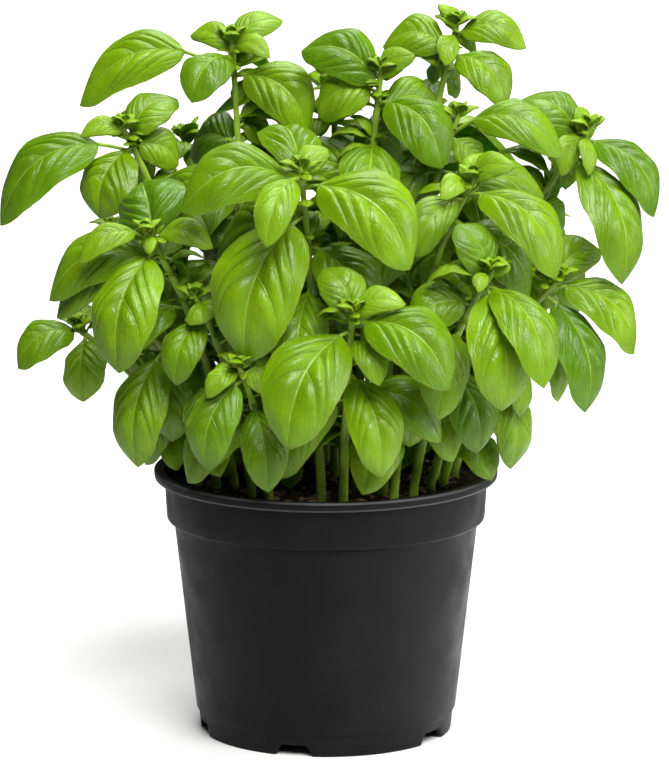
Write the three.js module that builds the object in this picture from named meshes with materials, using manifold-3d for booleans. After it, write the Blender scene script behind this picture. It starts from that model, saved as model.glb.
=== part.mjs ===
// A potted basil plant: a black plastic nursery pot full of potting soil, with leafy basil stems
// standing in it. Millimetres, +Z up, -Y towards the viewer, origin on the surface that the pot
// stands on, under the middle of the pot.
import * as THREE from "three";
import { mergeVertices } from "three/addons/utils/BufferGeometryUtils.js";
import Module from "manifold-3d";

const wasm = await Module();
wasm.setup();

// Pot
const POT_HEIGHT = 124;
const RIM_RADIUS = 80;
const COLLAR_TOP_RADIUS = 75;
const COLLAR_TOP = 118;
const COLLAR_FOOT_RADIUS = 74;
const COLLAR_FOOT = 100.6;
const WALL_TOP_RADIUS = 70.7;
const WALL_TOP = 99.2;
const WALL_FOOT_RADIUS = 60.6;
const WALL_FOOT = 10.6;
const SKIRT_RADIUS = 59.6;
const SKIRT_TOP = 9.8;
const FOOT_RADIUS = 58.5;
const WALL = 1.3;
const STEP_THICKNESS = 0.9;
const FOOT_WALL = 1.9;
const FLOOR_RADIUS = 58.2;
const FLOOR_BOTTOM = 6;
const FLOOR_TOP = 7.6;
const POT_SIDES = 32;
// The rolled rim's section, as distances in from the rim's edge and down from its top.
const RIM_SECTION = [
  [4.9, 4.6],
  [1, 4.6],
  [0, 3.6],
  [0, 1.4],
  [1.4, 0],
  [3.6, 0],
  [6.4, 2.8],
];
const NOTCHES_DEG = [-166, -104.5, -32.5, 39.5, 116];
const NOTCH_TOP_WIDTH = 12;
const NOTCH_FOOT_WIDTH = 18;
const NOTCH_HEIGHT = 5.2;
const NOTCH_CUT_DEPTH = 14;
const DRAIN_RADIUS = 4.5;
const DRAIN_RING_RADIUS = 45;
const DRAIN_CUT_HEIGHT = 6;
const DRAIN_SIDES = 12;

// Soil
const SOIL_TOP = 116;
const SOIL_GAP = 0.7;
const SOIL_FLOOR_GAP = 0.35;
const SOIL_SIDES = 24;
const SOIL_RING_SHARES = [0.88, 0.72, 0.5, 0.25];
const CRUMB_HEIGHT = 0.65;
const CRUMB_WAVES = { x: 0.31, y: 0.37, across: 0.23, start: 1.7 };
const HOLE_DEPTH = 10;
const HOLE_CLEARANCE = 0.5;
const HOLE_CUT_RISE = 5;

// Stems
const STEM_FOOT_RADIUS = 2.9;
const STEM_TIP_RADIUS = 1.5;
const STEM_SIDES = 4;
const STEM_RINGS = 7;
const STEM_FOOT_RISE = 2;
const STEM_LEAN = 0.3;
const STEM_RISE = 0.62;
const STEM_FLOOR_GAP = 0.4;
const BUD_LENGTH = 6.5;
const BUD_RADIUS = 2;
const BUD_WAIST = 0.4;

// Leaves
const BLADE_HALF_THICKNESS = 0.5;
const PETIOLE_RADIUS = 0.95;
const BLADE_ASPECT = 1.95;
const PETIOLE_SHARE_LEAST = 0.1;
const PETIOLE_SHARE_MOST = 0.28;
const BLADE_ARCH = 0.06;
const BLADE_SAG = 0.23;
const LEAST_SAG = 0.01;
const TIP_HOOK = 0.06;
const HOOK_START = 0.7;
const BLADE_DOME = 0.34;
const MARGIN_PULL = 0.08;
const EDGE_WAVE = { height: 0.06, along: 17, across: 2.3 };
const LARGE_BLADE = 24;
const SMALL_BLADE = 14;
const LARGE_STATIONS = [0, 0.12, 0.34, 0.6, 0.84];
const MIDDLE_STATIONS = [0, 0.22, 0.62];
const SMALL_STATIONS = [0, 0.42];
const FACE_RISE = 0.7;
const FACE_FORWARD = 1.1;
const FACE_RADIUS = 130;

// Space kept between blades: cells of the crown that a blade or stem takes, with their neighbours
const CELL = 2.5;
const CELL_SHIFT = 0.37;
const CELLS_X = 136;
const CELLS_Y = 136;
const CELLS_Z = 104;
const CELLS_FLOOR = 100;
const SAMPLES_ALONG = 40;
const SAMPLES_ACROSS = 17;
const BUD_SAMPLES = [0.3, 0.6, 1];
const OWN_REACH = 12;
const POT_CLEARANCE = 2.2;
const OPEN_SOIL_RADIUS = 68.4;
const SHIFTS = [0, 0.1, -0.1, 0.2, -0.2, 0.32, -0.32, 0.46, -0.46, 0.6, -0.6];
const TURNS_DEG = [0, 6, -6, 12, -12];
const SHRINKS = [1, 0.9, 0.8];
const TURN_COST = 0.06;
const SHRINK_COST = 3;
const RULED_TURNS = [0, 14, -14, 28, -28, 42, -42];
const RULED_LIFTS = [0, 12, -12, 24, -24];
const RULED_SHRINKS = [1, 0.86, 0.72];

const DEG = Math.PI / 180;
const SEED = 41;

// Shoots that the front shows. foot: where the stem leaves the soil, [x, y]. tip: its growing tip.
// leaves: [distance of the leaf's node below the growing tip, then the leaf's point as x, y and z
// from the growing tip, then the blade's width].
const FRONT_SHOOTS = [
  {
    name: "stem_top_left",
    foot: [-36, 8],
    tip: [-43, 5, 322],
    leaves: [
      [6, 23, 5, 10, 15],
      [8, -18, -25, -23, 23],
      [6, -20, 12, 2, 12],
      [16, -71, -5, -28, 26],
      [16, 35, -15, -38, 26],
      [40, 19, 15, -46, 22],
      [4, 17, -8, -5, 10],
      [50, -21, 20, -53, 26],
    ],
  },
  {
    name: "stem_top_centre",
    foot: [14, -8],
    tip: [25, -20, 311],
    leaves: [
      [8, -36, 8, 10, 25],
      [9, -29, -12, -20, 23],
      [4, 15, -5, 9, 12],
      [14, 28, -22, -39, 27],
      [18, 30, 20, -24, 22],
    ],
  },
  {
    name: "stem_top_right",
    foot: [30, 6],
    tip: [60, 10, 328],
    leaves: [
      [5, 32, -5, -8, 17],
      [3, -8, 0, 11, 7],
      [12, -34, 8, -9, 22],
      [4, -5, -15, -15, 11],
      [5, 10, 5, -12, 8],
      [14, 23, -15, -33, 22],
      [24, 3, 10, -30, 18],
    ],
  },
  {
    name: "stem_upper_right",
    foot: [24, -16],
    tip: [60, -25, 291],
    leaves: [
      [8, 47, -15, -14, 22],
      [10, 9, -15, -24, 15],
    ],
  },
  {
    name: "stem_right_high",
    foot: [50, -4],
    tip: [120, -15, 284],
    leaves: [
      [6, 31, -10, -37, 24],
      [14, 17, -22, -66, 31],
      [4, -11, -18, -19, 13],
      [5, 0, -15, -17, 10],
      [3, -5, -2, 11, 11],
      [8, -30, 15, 14, 24],
      [30, -18, 10, -29, 18],
      [44, -10, 5, -45, 17],
    ],
  },
  {
    name: "stem_right_inner",
    foot: [26, -28],
    tip: [66, -60, 268],
    leaves: [
      [3, 18, -8, 8, 12],
      [3, -14, -12, -6, 11],
      [8, 38, -18, -40, 27],
      [10, -25, -15, -32, 18],
      [12, 34, 20, -10, 18],
    ],
  },
  {
    name: "stem_right_middle",
    foot: [40, -31],
    tip: [74, -80, 229],
    leaves: [
      [8, 6, -18, -58, 31],
      [9, 24, -10, -45, 26],
      [6, -16, 15, 25, 24],
      [2, 8, -5, 4, 9],
      [2, -6, -10, -6, 8],
      [22, -36, 5, -26, 22],
    ],
  },
  {
    name: "stem_right_low",
    foot: [54, -10],
    tip: [106, -35, 218],
    leaves: [
      [5, 36, -10, -33, 25],
      [10, 14, -12, -58, 26],
      [6, 21, 12, 11, 19],
      [25, 2, 5, -57, 16],
    ],
  },
  {
    name: "stem_centre",
    foot: [-2, -42],
    tip: [-11, -80, 275],
    leaves: [
      [8, -53, -8, -15, 29],
      [4, -15, -20, -27, 18],
      [3, 12, 5, 10, 13],
      [8, 49, -15, -40, 34],
      [22, -25, -20, -83, 40],
    ],
  },
  {
    name: "stem_centre_low",
    foot: [8, -46],
    tip: [12, -100, 214],
    leaves: [
      [5, -13, 15, 19, 20],
      [4, 23, -2, 6, 13],
      [7, 43, -12, -30, 30],
      [12, -29, -22, -55, 35],
      [20, 12, -5, -30, 14],
      [40, 13, 5, -74, 24],
    ],
  },
  {
    name: "stem_left_middle",
    foot: [-42, -16],
    tip: [-80, -65, 244],
    leaves: [
      [6, -4, 25, 21, 34],
      [4, -30, -8, -10, 14],
      [5, 36, -5, -4, 16],
      [1, 1, -8, -7, 7],
      [10, -14, -20, -58, 33],
      [20, -46, 14, -31, 26],
      [30, -43, 0, -40, 22],
    ],
  },
  {
    name: "stem_left_high",
    foot: [-46, 4],
    tip: [-92, -15, 284],
    leaves: [
      [6, 26, 12, 16, 24],
      [3, -20, -2, -2, 10],
      [9, 25, 6, -17, 18],
      [12, -58, -12, -41, 29],
      [9, -12, -25, -38, 30],
      [20, 6, 10, -23, 16],
    ],
  },
  {
    name: "stem_left_low",
    foot: [-58, -8],
    tip: [-115, 5, 188],
    leaves: [
      [3, -28, -8, -16, 22],
      [5, 2, -15, -31, 24],
    ],
  },
  {
    name: "stem_left_hanging",
    foot: [-50, -18],
    tip: [-76, -40, 190],
    leaves: [
      [5, -11, -15, -54, 27],
      [15, 5, 0, -46, 20],
    ],
  },
  {
    name: "stem_left_front",
    foot: [-26, -38],
    tip: [-38, -90, 187],
    leaves: [
      [3, -15, -5, -11, 11],
      [3, 14, -2, -11, 14],
      [8, -16, -10, -44, 23],
      [30, 12, 0, -55, 21],
    ],
  },
  {
    name: "stem_front_right",
    foot: [31, -41],
    tip: [42, -60, 184],
    leaves: [
      [8, -4, -5, -37, 20],
      [22, 19, -6, -48, 22],
    ],
  },
  {
    name: "stem_right_front",
    foot: [48, -16],
    tip: [85, -45, 187],
    leaves: [
      [4, 4, -5, -29, 13],
      [15, 1, -8, -55, 20],
      [20, -11, 5, -42, 14],
    ],
  },
  {
    name: "stem_left_inner",
    foot: [-34, -26],
    tip: [-58, -62, 214],
    leaves: [
      [12, -10, -12, -36, 20],
      [3, 3, -12, -8, 18],
    ],
  },
];

// Shoots at the back and in the middle, which only other views show. heading: the way that the
// youngest leaf pair points, in degrees from +X.
const BACK_SHOOTS = [
  { name: "stem_back_top", foot: [4, 20], tip: [4, 36, 300], heading: 20 },
  { name: "stem_back_left_top", foot: [-24, 30], tip: [-66, 62, 268], heading: 75 },
  { name: "stem_back_right_top", foot: [26, 30], tip: [52, 66, 276], heading: 120 },
  { name: "stem_back_centre", foot: [0, 44], tip: [-4, 98, 246], heading: 10 },
  { name: "stem_back_left", foot: [-40, 34], tip: [-100, 50, 226], heading: 150 },
  { name: "stem_back_right", foot: [42, 28], tip: [104, 48, 232], heading: 30 },
  { name: "stem_back_left_low", foot: [-30, 48], tip: [-62, 98, 196], heading: 60 },
  { name: "stem_back_right_low", foot: [32, 48], tip: [56, 102, 198], heading: 140 },
  { name: "stem_back_low", foot: [2, 58], tip: [0, 112, 186], heading: 95 },
  { name: "stem_right_side_low", foot: [60, 14], tip: [92, 44, 180], heading: 80 },
];

// Opposite leaf pairs down a shoot, each turned a quarter from the last: distance of the node
// below the growing tip, leaf length, how far the leaf rises above the level in degrees, width.
const PAIRS = [
  { below: 4, length: 17, lift: 40, width: 10 },
  { below: 9, length: 34, lift: 14, width: 18 },
  { below: 22, length: 54, lift: -12, width: 28 },
  { below: 44, length: 62, lift: -32, width: 33 },
  { below: 74, length: 54, lift: -42, width: 29 },
  { below: 106, length: 44, lift: -40, width: 24 },
];
const MOST_PAIRS = 8;
const FRONT_HEADING = 37;
const OUTWARD_DROOP = 18;
const OUTWARD_RADIUS = 30;
const HEADING_JITTER = 14;
const LIFT_JITTER = 9;
const LENGTH_JITTER = 0.1;
const LOWER_PAIR_STEP = 16;
const LOWER_PAIR_GAP = 21;
const LOWER_PAIR = { length: 50, lift: -24, width: 27 };
const LOWEST_PAIR = { length: 32, lift: -20, width: 18 };
const LOWEST_NODE = 24;

// A seeded draw from 0 to 1, the same on every run.
let drawState = SEED;
function draw() {
  drawState = (drawState * 1664525 + 1013904223) % 4294967296;
  return drawState / 4294967296;
}
const spread = (amount) => (2 * draw() - 1) * amount;

// A stem rises from its foot on one quadratic curve that leans out more towards its tip.
function stemCurve(shoot) {
  const [footX, footY] = shoot.foot;
  const [tipX, tipY, tipZ] = shoot.tip;
  const footZ = SOIL_TOP + STEM_FOOT_RISE;
  return new THREE.QuadraticBezierCurve3(
    new THREE.Vector3(footX, footY, footZ),
    new THREE.Vector3(
      footX + STEM_LEAN * (tipX - footX),
      footY + STEM_LEAN * (tipY - footY),
      footZ + STEM_RISE * (tipZ - footZ),
    ),
    new THREE.Vector3(tipX, tipY, tipZ),
  );
}

// The point on a stem at a distance back from its growing tip, and the stem's whole length.
const STEM_STEPS = 60;
function stemNode(curve, below) {
  let walked = 0;
  let last = curve.getPoint(1);
  for (let i = STEM_STEPS - 1; i >= 0; i--) {
    const next = curve.getPoint(i / STEM_STEPS);
    const step = next.distanceTo(last);
    if (walked + step >= below)
      return last.clone().lerp(next, (below - walked) / step);
    walked += step;
    last = next;
  }
  return last;
}
function stemLength(curve) {
  let length = 0;
  for (let i = 0; i < STEM_STEPS; i++)
    length += curve
      .getPoint(i / STEM_STEPS)
      .distanceTo(curve.getPoint((i + 1) / STEM_STEPS));
  return length;
}

// Points along a stem and on through its bud.
function stemSamples(curve) {
  const tip = curve.getPoint(1);
  const tangent = curve.getTangent(1);
  return [
    ...curve.getPoints(STEM_STEPS * 2),
    ...BUD_SAMPLES.map((share) => tip.clone().addScaledVector(tangent, share * BUD_LENGTH)),
  ];
}

// A leaf between its root on the stem and its point. Its upper side turns up and outwards, and on
// the shoots at the front towards the viewer, where the light comes from.
function makeLeaf(shoot, root, point, width) {
  const chord = point.clone().sub(root);
  const length = chord.length();
  const along = chord.clone().divideScalar(length);
  const middle = root.clone().lerp(point, 0.5);
  const atFront = shoot <= FRONT_SHOOTS.length;
  const sky = new THREE.Vector3(
    middle.x / FACE_RADIUS,
    atFront ? -FACE_FORWARD : middle.y / FACE_RADIUS,
    FACE_RISE,
  ).normalize();
  const up = sky.addScaledVector(along, -sky.dot(along)).normalize();
  const side = along.clone().cross(up);
  const plumb = new THREE.Vector3(0, 0, 1).addScaledVector(along, -along.z);
  plumb.divideScalar(Math.sqrt(Math.max(plumb.length(), LEAST_SAG)));
  const petiole = Math.min(
    PETIOLE_SHARE_MOST,
    Math.max(PETIOLE_SHARE_LEAST, 1 - (BLADE_ASPECT * width) / length),
  );
  return { shoot, root, point, length, along, up, side, plumb, width, petiole };
}

// Half the blade's width at a share u of the blade's length: ovate, widest before the middle.
const OVATE_BASE = 0.55;
const OVATE_TIP = 0.6;
const OVATE_WIDEST = OVATE_BASE / (OVATE_BASE + OVATE_TIP);
const OVATE_PEAK = OVATE_WIDEST ** OVATE_BASE * (1 - OVATE_WIDEST) ** OVATE_TIP;
function halfWidth(leaf, t) {
  const u = (t - leaf.petiole) / (1 - leaf.petiole);
  if (u <= 0) return PETIOLE_RADIUS;
  const ovate = (u ** OVATE_BASE * (1 - Math.min(u, 1)) ** OVATE_TIP) / OVATE_PEAK;
  return Math.max((leaf.width / 2) * ovate, u < 0.5 ? PETIOLE_RADIUS : 0);
}

// A point of the blade: t along it from root to point, s across it from -1 to 1. The blade arches
// up before it sags to its point, its margins bend back from the midrib, and they wave a little.
function bladePoint(leaf, t, s, lift = 0) {
  const half = halfWidth(leaf, t);
  const hook = Math.max(0, (t - HOOK_START) / (1 - HOOK_START)) ** 2;
  const phase = EDGE_WAVE.along * t + EDGE_WAVE.across * s + leaf.length;
  const wave = EDGE_WAVE.height * half * s * s * Math.sin(phase);
  const bow = 4 * t * (1 - t);
  const height =
    leaf.length * (BLADE_ARCH * bow - TIP_HOOK * hook) - BLADE_DOME * half * s * s + wave + lift;
  return leaf.root
    .clone()
    .addScaledVector(leaf.along, leaf.length * t)
    .addScaledVector(leaf.side, half * s * (1 + MARGIN_PULL * (1 - s * s)))
    .addScaledVector(leaf.plumb, leaf.length * BLADE_SAG * bow)
    .addScaledVector(leaf.up, height);
}

// The crown's cells. Each holds the number of the shoot that took it, counted from 1: in near with
// the cells round it, or SHARED where two shoots are near, and in here without them.
const SHARED = -1;
const near = new Int16Array(CELLS_X * CELLS_Y * CELLS_Z);
const here = new Int16Array(CELLS_X * CELLS_Y * CELLS_Z);
function cellOf(p) {
  return [
    Math.floor((p.x + CELL_SHIFT) / CELL) + CELLS_X / 2,
    Math.floor((p.y + CELL_SHIFT) / CELL) + CELLS_Y / 2,
    Math.floor((p.z - CELLS_FLOOR + CELL_SHIFT) / CELL),
  ];
}
const cellIndex = (i, j, k) => (k * CELLS_Y + j) * CELLS_X + i;
function takeCells(points, shootNumber) {
  for (const p of points) {
    const [i, j, k] = cellOf(p);
    here[cellIndex(i, j, k)] = shootNumber;
    for (let di = -1; di <= 1; di++)
      for (let dj = -1; dj <= 1; dj++)
        for (let dk = -1; dk <= 1; dk++) {
          const index = cellIndex(i + di, j + dj, k + dk);
          const free = near[index] === 0 || near[index] === shootNumber;
          near[index] = free ? shootNumber : SHARED;
        }
  }
}

function bladeSamples(leaf) {
  const points = [];
  for (let i = 0; i <= SAMPLES_ALONG; i++) {
    const t = i / SAMPLES_ALONG;
    const across = t < leaf.petiole ? 0 : SAMPLES_ACROSS - 1;
    for (let j = 0; j <= across; j++)
      points.push(bladePoint(leaf, t, across ? (2 * j) / across - 1 : 0));
  }
  return points;
}

// A blade keeps above the soil and rim, or outside the rim.
function clearOfPot(p) {
  const radius = Math.hypot(p.x, p.y);
  const floor = radius > OPEN_SOIL_RADIUS ? POT_HEIGHT : SOIL_TOP;
  return radius > RIM_RADIUS + POT_CLEARANCE || p.z > floor + POT_CLEARANCE;
}

// A blade is clear where it keeps off the pot, near no other shoot and, away from its own root,
// off its own shoot.
function isClear(leaf, points) {
  return points.every((p) => {
    if (!clearOfPot(p)) return false;
    const index = cellIndex(...cellOf(p));
    if (near[index] !== 0 && near[index] !== leaf.shoot) return false;
    return here[index] === 0 || p.distanceTo(leaf.root) < OWN_REACH;
  });
}

// How far from the middle a leaf placed by rule may reach at a height.
const CROWN = [
  [120, 84],
  [160, 102],
  [200, 121],
  [250, 131],
  [290, 106],
  [330, 40],
];
function crownReach(z) {
  const above = CROWN.findIndex(([height]) => height > z);
  const next = above < 0 ? CROWN.length - 1 : Math.max(1, above);
  const [z0, reach0] = CROWN[next - 1];
  const [z1, reach1] = CROWN[next];
  return THREE.MathUtils.mapLinear(z, z0, z1, reach0, reach1);
}
const insideCrown = (p) => Math.hypot(p.x, p.y) <= crownReach(p.z);

// The ways to bend a leaf clear, gentlest first: its point shifted towards or away from the viewer
// by a share of its length, then turned in the front view, then smaller.
const BENDS = SHIFTS.flatMap((shift) =>
  TURNS_DEG.flatMap((turn) => SHRINKS.map((shrink) => ({ shift, turn, shrink }))),
)
  .map((bend, order) => ({
    ...bend,
    order,
    cost:
      Math.abs(bend.shift) +
      TURN_COST * Math.abs(bend.turn) +
      SHRINK_COST * (1 - bend.shrink),
  }))
  .sort((a, b) => a.cost - b.cost || a.order - b.order);

const VIEW_AXIS = new THREE.Vector3(0, 1, 0);
function bent(shoot, root, point, width, bend) {
  const chord = point.clone().sub(root);
  chord
    .addScaledVector(VIEW_AXIS, chord.length() * bend.shift)
    .applyAxisAngle(VIEW_AXIS, bend.turn * DEG)
    .multiplyScalar(bend.shrink);
  return makeLeaf(shoot, root, root.clone().add(chord), width * bend.shrink);
}
function firstClear(leaves) {
  for (const leaf of leaves) {
    const points = bladeSamples(leaf);
    if (!isClear(leaf, points)) continue;
    takeCells(points, leaf.shoot);
    return leaf;
  }
  return null;
}
const placeListed = (shoot, root, point, width) =>
  firstClear(BENDS.map((bend) => bent(shoot, root, point, width, bend)));

// A leaf that the rule places: it droops more where it points outwards, and where its place is
// taken it tries other headings and lifts, then smaller sizes.
const TRIALS = RULED_SHRINKS.flatMap((shrink) =>
  RULED_LIFTS.flatMap((lift) => RULED_TURNS.map((turn) => ({ shrink, lift, turn }))),
);
function placeRuled(shoot, root, pair, heading) {
  const headingJitter = spread(HEADING_JITTER);
  const liftJitter = spread(LIFT_JITTER);
  const lengthJitter = 1 + spread(LENGTH_JITTER);
  const trials = TRIALS.map((trial) => {
    const azimuth = (heading + headingJitter + trial.turn) * DEG;
    const outward =
      (Math.cos(azimuth) * root.x + Math.sin(azimuth) * root.y) /
      Math.max(OUTWARD_RADIUS, Math.hypot(root.x, root.y));
    const droop = OUTWARD_DROOP * outward;
    const lift = (pair.lift - droop + liftJitter + trial.lift) * DEG;
    const length = pair.length * lengthJitter * trial.shrink;
    const point = new THREE.Vector3(
      root.x + length * Math.cos(lift) * Math.cos(azimuth),
      root.y + length * Math.cos(lift) * Math.sin(azimuth),
      root.z + length * Math.sin(lift),
    );
    return makeLeaf(shoot, root, point, pair.width * trial.shrink);
  });
  return firstClear(trials.filter((leaf) => insideCrown(leaf.point)));
}

// The pairs below a front shoot's listed leaves: smaller towards the soil.
function lowerPairs(shoot) {
  const lowest = Math.max(...shoot.leaves.map(([below]) => below));
  const room = stemLength(shoot.curve) - LOWEST_NODE - lowest - LOWER_PAIR_STEP;
  const count = Math.max(0, Math.floor(room / LOWER_PAIR_GAP) + 1);
  return Array.from({ length: count }, (_, i) => {
    const age = (i * LOWER_PAIR_GAP) / Math.max(room, 1);
    const { lerp } = THREE.MathUtils;
    return {
      below: lowest + LOWER_PAIR_STEP + i * LOWER_PAIR_GAP,
      length: lerp(LOWER_PAIR.length, LOWEST_PAIR.length, age),
      lift: lerp(LOWER_PAIR.lift, LOWEST_PAIR.lift, age),
      width: lerp(LOWER_PAIR.width, LOWEST_PAIR.width, age),
    };
  });
}

// All shoots with their stems and placed leaves. Stems take their cells first, then the leaves
// that the front shows, then the pairs by rule, the youngest of all shoots first.
function growPlant() {
  const shoots = [...FRONT_SHOOTS, ...BACK_SHOOTS].map((shoot, i) => ({
    ...shoot,
    number: i + 1,
    curve: stemCurve(shoot),
    placed: [],
  }));
  for (const shoot of shoots) takeCells(stemSamples(shoot.curve), shoot.number);
  for (const shoot of shoots)
    for (const [below, x, y, z, width] of shoot.leaves ?? []) {
      const root = stemNode(shoot.curve, below);
      const point = new THREE.Vector3(...shoot.tip).add(new THREE.Vector3(x, y, z));
      const leaf = placeListed(shoot.number, root, point, width);
      if (leaf) shoot.placed.push({ ...leaf, listed: true });
    }
  const pairLists = shoots.map((shoot) => (shoot.leaves ? lowerPairs(shoot) : PAIRS));
  for (let age = 0; age < MOST_PAIRS; age++)
    shoots.forEach((shoot, i) => {
      const pair = pairLists[i][age];
      if (!pair || pair.below > stemLength(shoot.curve) - LOWEST_NODE) return;
      const heading = (shoot.heading ?? FRONT_HEADING * shoot.number) + 90 * age;
      const root = stemNode(shoot.curve, pair.below);
      for (const turn of [0, 180]) {
        const leaf = placeRuled(shoot.number, root, pair, heading + turn);
        if (leaf) shoot.placed.push(leaf);
      }
    });
  return shoots;
}

// Solids
function geometryOf(points, triangles) {
  const geometry = new THREE.BufferGeometry();
  geometry.setAttribute(
    "position",
    new THREE.Float32BufferAttribute(points.flatMap((p) => [p.x, p.y, p.z]), 3),
  );
  geometry.setIndex(triangles.flat());
  return geometry;
}

// Rings of the same number of points, one after another, closed with a fan at the start and an
// apex at the end.
function loft(rings, apex) {
  const n = rings[0].length;
  const points = rings.flat();
  const triangles = [];
  for (let r = 0; r + 1 < rings.length; r++)
    for (let i = 0; i < n; i++) {
      const a = r * n + i;
      const b = r * n + ((i + 1) % n);
      triangles.push([a, b, b + n], [a, b + n, a + n]);
    }
  for (let i = 1; i + 1 < n; i++) triangles.push([0, i + 1, i]);
  const last = (rings.length - 1) * n;
  const top = points.push(apex) - 1;
  for (let i = 0; i < n; i++) triangles.push([last + i, last + ((i + 1) % n), top]);
  return geometryOf(points, triangles);
}

function solidFrom(geometry) {
  const bare = geometry.clone();
  for (const attribute of Object.keys(bare.attributes))
    if (attribute !== "position") bare.deleteAttribute(attribute);
  const merged = mergeVertices(bare, 1e-4);
  const solid = new wasm.Manifold(
    new wasm.Mesh({
      numProp: 3,
      vertProperties: merged.attributes.position.array,
      triVerts: new Uint32Array(merged.index.array),
    }),
  );
  if (solid.volume() >= 0) return solid;
  const turned = merged.index.array.slice();
  for (let i = 0; i < turned.length; i += 3)
    [turned[i + 1], turned[i + 2]] = [turned[i + 2], turned[i + 1]];
  return new wasm.Manifold(
    new wasm.Mesh({
      numProp: 3,
      vertProperties: merged.attributes.position.array,
      triVerts: new Uint32Array(turned),
    }),
  );
}

function geometryFrom(solid) {
  const mesh = solid.getMesh();
  const positions = new Float32Array(mesh.numVert * 3);
  for (let i = 0; i < mesh.numVert; i++)
    for (let axis = 0; axis < 3; axis++)
      positions[i * 3 + axis] = mesh.vertProperties[i * mesh.numProp + axis];
  const geometry = new THREE.BufferGeometry();
  geometry.setAttribute("position", new THREE.BufferAttribute(positions, 3));
  geometry.setIndex(new THREE.BufferAttribute(new Uint32Array(mesh.triVerts), 1));
  return geometry;
}

const joined = (solids) => solids.reduce((a, b) => a.add(b));

// A stalk and blade in one: four-sided rings, flat and wide in the blade.
function leafSolid(leaf) {
  let stations = SMALL_STATIONS;
  if (leaf.width >= SMALL_BLADE) stations = MIDDLE_STATIONS;
  if (leaf.width >= LARGE_BLADE && leaf.listed) stations = LARGE_STATIONS;
  const ts = [0, ...stations.map((u) => leaf.petiole + u * (1 - leaf.petiole))];
  const rings = ts.map((t) => {
    const thick = t <= leaf.petiole ? PETIOLE_RADIUS : BLADE_HALF_THICKNESS;
    return [
      bladePoint(leaf, t, 1),
      bladePoint(leaf, t, 0, thick),
      bladePoint(leaf, t, -1),
      bladePoint(leaf, t, 0, -thick),
    ];
  });
  return solidFrom(loft(rings, bladePoint(leaf, 1, 0)));
}

// A ring of points round a stem. The seam faces the same way all along the stem.
function stemRing(centre, tangent, radius) {
  const across = VIEW_AXIS.clone().cross(tangent).normalize();
  const other = tangent.clone().cross(across);
  return Array.from({ length: STEM_SIDES }, (_, i) => {
    const angle = ((i + 0.5) * 2 * Math.PI) / STEM_SIDES;
    return centre
      .clone()
      .addScaledVector(across, radius * Math.cos(angle))
      .addScaledVector(other, radius * Math.sin(angle));
  });
}

// The stem: upright in its hole, then along its curve, then the closed bud at its growing tip.
function stemSolid(shoot) {
  const upright = new THREE.Vector3(0, 0, 1);
  const buried = new THREE.Vector3(
    ...shoot.foot,
    SOIL_TOP - HOLE_DEPTH + STEM_FLOOR_GAP,
  );
  const rings = [stemRing(buried, upright, STEM_FOOT_RADIUS)];
  for (let i = 0; i < STEM_RINGS; i++) {
    const t = i / (STEM_RINGS - 1);
    const radius = THREE.MathUtils.lerp(STEM_FOOT_RADIUS, STEM_TIP_RADIUS, t);
    const tangent = i === 0 ? upright : shoot.curve.getTangent(t);
    rings.push(stemRing(shoot.curve.getPoint(t), tangent, radius));
  }
  const tip = shoot.curve.getPoint(1);
  const tangent = shoot.curve.getTangent(1);
  const budWaist = tip.clone().addScaledVector(tangent, BUD_LENGTH * BUD_WAIST);
  rings.push(stemRing(budWaist, tangent, BUD_RADIUS));
  return solidFrom(loft(rings, tip.clone().addScaledVector(tangent, BUD_LENGTH)));
}

const lathe = (profile, sides) =>
  new THREE.LatheGeometry(
    profile.map(([r, z]) => new THREE.Vector2(r, z)),
    sides,
  ).rotateX(Math.PI / 2);

// The pot: one wall from the notched foot ring to the rolled rim, with a raised floor.
function potSolid() {
  const profile = [
    [0, FLOOR_BOTTOM],
    [FOOT_RADIUS - FOOT_WALL, FLOOR_BOTTOM],
    [FOOT_RADIUS - FOOT_WALL, 0],
    [FOOT_RADIUS, 0],
    [SKIRT_RADIUS, SKIRT_TOP],
    [WALL_FOOT_RADIUS, WALL_FOOT],
    [WALL_TOP_RADIUS, WALL_TOP],
    [COLLAR_FOOT_RADIUS, COLLAR_FOOT],
    [COLLAR_TOP_RADIUS, COLLAR_TOP],
    ...RIM_SECTION.map(([inwards, down]) => [RIM_RADIUS - inwards, POT_HEIGHT - down]),
    [COLLAR_TOP_RADIUS - WALL, COLLAR_TOP],
    [COLLAR_FOOT_RADIUS - WALL, COLLAR_FOOT + STEP_THICKNESS],
    [WALL_TOP_RADIUS - WALL, WALL_TOP + STEP_THICKNESS],
    [WALL_FOOT_RADIUS - WALL, WALL_FOOT],
    [FLOOR_RADIUS, FLOOR_TOP],
    [0, FLOOR_TOP],
  ];
  let solid = solidFrom(lathe(profile, POT_SIDES));
  for (const degrees of NOTCHES_DEG)
    solid = solid.subtract(notchSolid(degrees * DEG)).subtract(drainSolid(degrees * DEG));
  return solid;
}

// A notch through the foot ring, wider at its foot.
function notchSolid(angle) {
  const outline = new THREE.Shape([
    new THREE.Vector2(-NOTCH_FOOT_WIDTH / 2, -1),
    new THREE.Vector2(NOTCH_FOOT_WIDTH / 2, -1),
    new THREE.Vector2(NOTCH_TOP_WIDTH / 2, NOTCH_HEIGHT),
    new THREE.Vector2(-NOTCH_TOP_WIDTH / 2, NOTCH_HEIGHT),
  ]);
  const cut = new THREE.ExtrudeGeometry(outline, {
    depth: NOTCH_CUT_DEPTH,
    bevelEnabled: false,
  });
  cut.rotateX(Math.PI / 2).translate(0, FOOT_RADIUS + NOTCH_CUT_DEPTH / 2, 0);
  return solidFrom(cut.rotateZ(angle - Math.PI / 2));
}

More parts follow.
